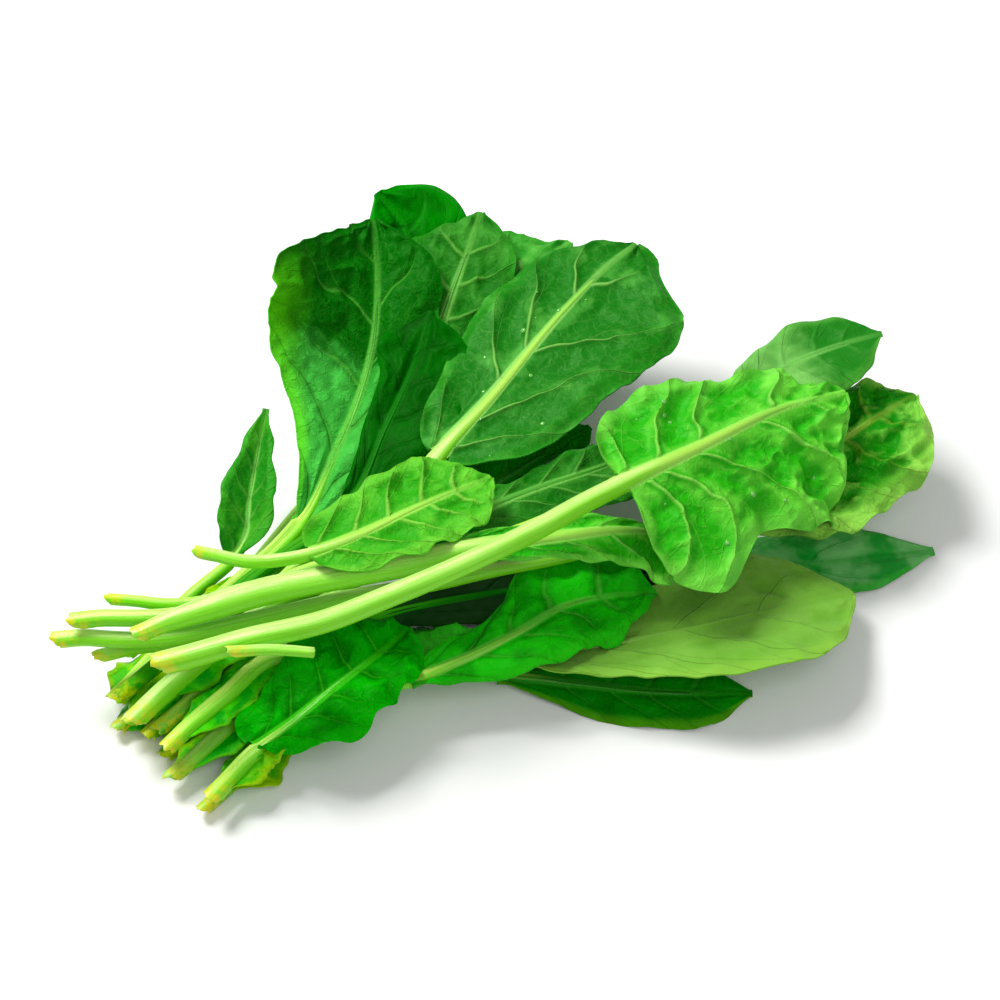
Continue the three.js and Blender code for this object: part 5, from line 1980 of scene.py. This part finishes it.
class DewTree(GrowthTree):
    """Scatters a few water drops over the parts of a blade that look up."""

    def __init__(self) -> None:
        """Builds the tree."""
        super().__init__("dew", {
            "Drops per square metre": ("Float", 1800.0), "Largest": ("Float", 1.1 * MM), "Seed": ("Int", 0),
            "Finish": ("Material", None), "Water": ("Material", None),
        })
        nodes, given = self.nodes, self.given.outputs
        normal = nodes.add("GeometryNodeInputNormal").outputs[0]
        facing = nodes.fed("ShaderNodeSeparateXYZ", {0: normal})
        inside = nodes.math("LESS_THAN", self.attribute("share"), 0.8)
        chosen = nodes.times(nodes.math("GREATER_THAN", facing.outputs[2], 0.5), inside)
        scatter = nodes.fed("GeometryNodeDistributePointsOnFaces", {
            "Mesh": given["Geometry"], "Selection": chosen, "Density": given["Drops per square metre"],
            "Seed": given["Seed"],
        })
        ball = nodes.fed("GeometryNodeMeshIcoSphere", {"Radius": given["Largest"], "Subdivisions": 3})
        marked = nodes.fed("GeometryNodeStoreNamedAttribute", {
            "Geometry": ball.outputs[0], "Name": "drop", "Value": 1.0,
        })
        drop = nodes.fed("GeometryNodeSetShadeSmooth", {0: marked.outputs[0]})
        random = {2: 0.3, 3: 1.0, "Seed": given["Seed"]}
        size = nodes.fed("FunctionNodeRandomValue", random, data_type="FLOAT").outputs[1]
        squat = nodes.fed("ShaderNodeCombineXYZ", {0: size, 1: size, 2: nodes.times(size, 0.6)})
        drops = nodes.fed("GeometryNodeInstanceOnPoints", {
            "Points": scatter.outputs["Points"], "Instance": drop.outputs[0],
            "Rotation": scatter.outputs["Rotation"], "Scale": squat.outputs[0],
        })
        join = nodes.fed("GeometryNodeJoinGeometry", {0: given["Geometry"]})
        nodes.put(join.inputs[0], drops.outputs[0])
        is_drop = nodes.math("GREATER_THAN", self.attribute("drop"), 0.5)
        self.chain(
            ("GeometryNodeRealizeInstances", {}),
            ("GeometryNodeSetMaterial", {"Material": given["Finish"]}),
            ("GeometryNodeSetMaterial", {"Selection": is_drop, "Material": given["Water"]}),
            start=join.outputs[0],
        )

    def apply(self, piece: Piece, finish: Material, seed: int) -> None:
        """Wets a blade and keeps its finish."""
        self.grown(piece, {"Seed": seed, "Finish": finish, "Water": water()})


def water() -> Material:
    """Gives water, made the first time. Its pale green is painted in for the leaf seen through the drop.

    Returns:
        The material.
    """
    name = "water"
    if name not in bpy.data.materials:
        _, nodes, shader = shader_base(name)
        wet = {"Base Color": srgb(104, 182, 78), "Roughness": 0.04, "Specular IOR Level": 0.8}
        nodes.feed(shader, wet)
    return bpy.data.materials[name]


class FluteTree(GrowthTree):
    """Raises the fine ridges that run along a stalk, and tears its cut rim."""

    def __init__(self) -> None:
        """Builds the tree."""
        super().__init__("stalk flutes", {
            "Ridges": ("Float", 11.0), "Ridge depth": ("Float", 0.03), "Torn depth": ("Float", 2.2 * MM),
            "Torn length": ("Float", 4 * MM), "Seed": ("Float", 0.0), "Finish": ("Material", None),
        })
        nodes, given = self.nodes, self.given.outputs
        round_at = self.attribute("round", "FLOAT_VECTOR")
        x, y, run = nodes.fed("ShaderNodeSeparateXYZ", {0: round_at}).outputs
        girth = nodes.length(x, y)
        angle = nodes.plus(nodes.math("ARCTAN2", y, x), given["Seed"])
        position = nodes.add("GeometryNodeInputPosition").outputs[0]
        drift = nodes.times(nodes.noise(position, 60.0, 1.0), 3.0)
        ridges = nodes.math("ROUND", given["Ridges"])
        wave = nodes.math("SINE", nodes.scaled(ridges, angle, drift))
        height = nodes.times(nodes.times(wave, girth), given["Ridge depth"])
        fade = nodes.times(height, nodes.fade(self.attribute("midrib"), 0.0, 0.6, 1.0, 0.15))
        raise_by = {0: nodes.add("GeometryNodeInputNormal").outputs[0], "Scale": fade}
        raised = nodes.fed("ShaderNodeVectorMath", raise_by, operation="SCALE")
        ragged = nodes.noise(position, 420.0, 2.0, 0.7)
        depth = nodes.times(nodes.minus(ragged, 0.35), given["Torn depth"])
        near_cut = nodes.minus(1.0, nodes.math("DIVIDE", run, given["Torn length"]), clamp=True)
        tear_by = {0: self.attribute("ahead", "FLOAT_VECTOR"), "Scale": nodes.times(depth, near_cut)}
        torn = nodes.fed("ShaderNodeVectorMath", tear_by, operation="SCALE")
        both = {0: raised.outputs[0], 1: torn.outputs[0]}
        offset = nodes.fed("ShaderNodeVectorMath", both, operation="ADD")
        self.chain(
            ("GeometryNodeSetPosition", {"Offset": offset.outputs[0]}),
            ("GeometryNodeRealizeInstances", {}),
            ("GeometryNodeSetMaterial", {"Material": given["Finish"]}),
        )

    def apply(self, piece: Piece, finish: Material, seed: int) -> None:
        """Flutes a stalk and gives it its finish."""
        self.grown(piece, {"Seed": float(seed), "Finish": finish})


@dataclass
class Table:
    """The pale table top that the bunch lies on, and its finish."""

    size: float = 3.0

    def build(self) -> Piece:
        """Makes the table top.

        Returns:
            The table top.
        """
        half = self.size / 2
        mesh = bpy.data.meshes.new("table_top")
        corners = [(-half, -half, 0), (half, -half, 0), (half, half, 0), (-half, half, 0)]
        mesh.from_pydata(corners, [], [(0, 1, 2, 3)])
        top = bpy.data.objects.new("table_top", mesh)
        bpy.context.scene.collection.objects.link(top)
        material, nodes, shader = shader_base("pale table")
        place = nodes.add("ShaderNodeTexCoord").outputs["Object"]
        patches = placed(nodes, "mottle", mottle_group, {"Place": place, "Size": 60.0, "Contrast": 1.0})
        tone = nodes.blend(patches.outputs["Patch"], (246, 246, 244), (243, 244, 242))
        nodes.feed(shader, {"Base Color": tone, "Roughness": 0.8})
        mesh.materials.append(material)
        return top


@dataclass
class Studio:
    """The camera, the lamps and the sky round the table."""

    aim: Vector
    elevation: float = 50.0
    distance: float = 0.9
    lens: float = 95.3
    sky: float = 0.28

    def build(self) -> None:
        """Sets the camera, the lamps and the sky."""
        scene = bpy.context.scene
        data = bpy.data.cameras.new("camera")
        data.lens, data.sensor_width, data.clip_start = self.lens, 36.0, 0.05
        camera = bpy.data.objects.new("camera", data)
        rise = math.radians(self.elevation)
        camera.location = self.aim + Vector((0, -math.cos(rise), math.sin(rise))) * self.distance
        self.point(camera, self.aim)
        scene.collection.objects.link(camera)
        scene.camera = camera
        self.lamp("key", (-0.55, 0.45, 1.0), 0.5, 17.0)
        self.lamp("fill", (0.4, -0.75, 1.0), 1.0, 6.0)
        world = bpy.data.worlds.new("sky")
        world.use_nodes = True
        background = world.node_tree.nodes["Background"]
        background.inputs["Color"].default_value = (1.0, 1.0, 1.0, 1.0)
        background.inputs["Strength"].default_value = self.sky
        scene.world = world
        scene.view_settings.view_transform = "Standard"

    def lamp(self, name: str, place: Three, size: float, power: float) -> None:
        """Hangs a square softbox that looks at the bunch.

        Args:
            name: The lamp's name.
            place: Where it hangs, in metres.
            size: Its side.
            power: Its power, in watts.
        """
        data = bpy.data.lights.new(name, "AREA")
        data.shape, data.size, data.energy = "SQUARE", size, power
        lamp = bpy.data.objects.new(name, data)
        lamp.location = place
        self.point(lamp, self.aim)
        bpy.context.scene.collection.objects.link(lamp)

    @staticmethod
    def point(thing: Piece, at: Vector) -> None:
        """Turns a camera or a lamp to look at a place."""
        thing.rotation_euler = (at - thing.location).to_track_quat("-Z", "Y").to_euler()


@dataclass
class Bunch:
    """The whole bunch: its leaves laid one by one, then built and dressed."""

    laid: list[LaidLeaf]
    shift: Array

    @classmethod
    def lay(cls) -> "Bunch":
        """Lays the leaves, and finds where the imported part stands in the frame.

        Returns:
            The bunch, laid but not yet built.
        """
        heap = Heap()
        laid = [LaidLeaf.on(leaf, heap) for leaf in LEAVES]
        stub = laid[-1].at
        turn = np.pi / 3 * np.arange(6)
        ring = stub.left[:, None] * np.cos(turn)[:, None] + stub.up[:, None] * np.sin(turn)[:, None]
        ring = stub.centre[:, None] + ring * stub.radius[:, None, None]
        ring[0] += stub.ahead[0] * (CUT_SLANT * np.sin(turn))[:, None]
        low = np.array(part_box(f"{laid[-1].leaf.name}_stalk")[0]) / MM
        shift = low - ring.reshape(-1, 3).min(axis=0)
        LOG.info("the frame stands at %s mm from the heap", np.round(shift, 3))
        return cls(laid, shift)

    def build(self) -> None:
        """Builds every stalk and blade, which ride with the part and stand for their nodes."""
        flutes, dew = FluteTree(), DewTree()
        for number, laid in enumerate(self.laid):
            name = laid.leaf.name
            stalk = Stalk(laid, number).build(self.shift, flutes)
            self.settle(stalk, f"{name}_stalk", Slot.STALK)
            if laid.leaf.blade:
                blade = Blade(laid, number).build(self.shift, dew)
                self.settle(blade, f"{name}_blade", laid.leaf.habit.finish.slot)
            for plan in (p for p in WINGS if p.leaf == name):
                self.settle(Wing(laid, number, plan).build(self.shift), f"{name}_stalk", plan.finish.slot)

    @staticmethod
    def settle(piece: Piece, node: str, slot: Slot) -> None:
        """Puts a piece in its node's place.

        Args:
            piece: The piece.
            node: The node that it stands for.
            slot: The slot for its finish; not used.
        """
        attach(piece, "root")
        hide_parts(node)
        LOG.info("%s: %d faces, stands for %s", piece.name, len(piece.data.polygons), node)


# The wings: the leaf's number, then the plan's other fields in their order.
WINGS = tuple(WingPlan(f"leaf_{number:02}", *plan) for number, *plan in (
    (1, Side.LEFT, 2, 40, 7, 0, RAGGED),
    (2, Side.RIGHT, 10, 44, 9, 10, OLIVE),
    (2, Side.LEFT, 8, 44, 5, 30, RAGGED),
    (3, Side.RIGHT, 3, 46, 5, 10, RAGGED),
    (4, Side.RIGHT, 5, 60, 7, 0, RAGGED),
    (4, Side.LEFT, 2, 40, 5, 10, OLIVE),
    (4, Side.LEFT, 50, 124, 22, 0, LUSH, "flap"),
    (3, Side.LEFT, 1, 44, 10, 0, OLIVE),
    (5, Side.RIGHT, 0.5, 40, 10, 0, RAGGED),
    (8, Side.LEFT, 1, 40, 9, 5, OLIVE),
    (12, Side.LEFT, 0.5, 44, 11, -10, RAGGED),
    (11, Side.LEFT, 0.5, 22, 8, -20, OLIVE, "scrap"),
    (5, Side.LEFT, 0.5, 50, 8, 0, RAGGED),
    (6, Side.LEFT, 0.5, 44, 9, 5, OLIVE),
    (6, Side.RIGHT, 1, 50, 10, 0, RAGGED),
    (8, Side.RIGHT, 2, 50, 9, 0, RAGGED),
    (9, Side.RIGHT, 4, 60, 6, -10, RAGGED),
    (9, Side.LEFT, 8, 50, 5, 0, RAGGED),
    (10, Side.RIGHT, 5, 34, 8, -10, OLIVE),
    (11, Side.LEFT, 8, 60, 4, 0, OLIVE),
    (11, Side.RIGHT, 10, 60, 4, 0, RAGGED),
    (12, Side.RIGHT, 2, 50, 9, 0, RAGGED),
    (13, Side.RIGHT, 10, 60, 3.5, 10, RAGGED),
    (14, Side.RIGHT, 12, 70, 6, -10, RAGGED),
))


def main() -> None:
    """Builds the table, the light and the bunch."""
    logging.basicConfig(level=logging.INFO, format="%(message)s")
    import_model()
    bunch = Bunch.lay()
    aim = (np.array([0.0, 0.0, 20.0]) + bunch.shift) * MM
    Studio(Vector(aim)).build()
    table = Table().build()
    LOG.info("table and studio are set")
    bunch.build()


if __name__ == "__main__":
    main()
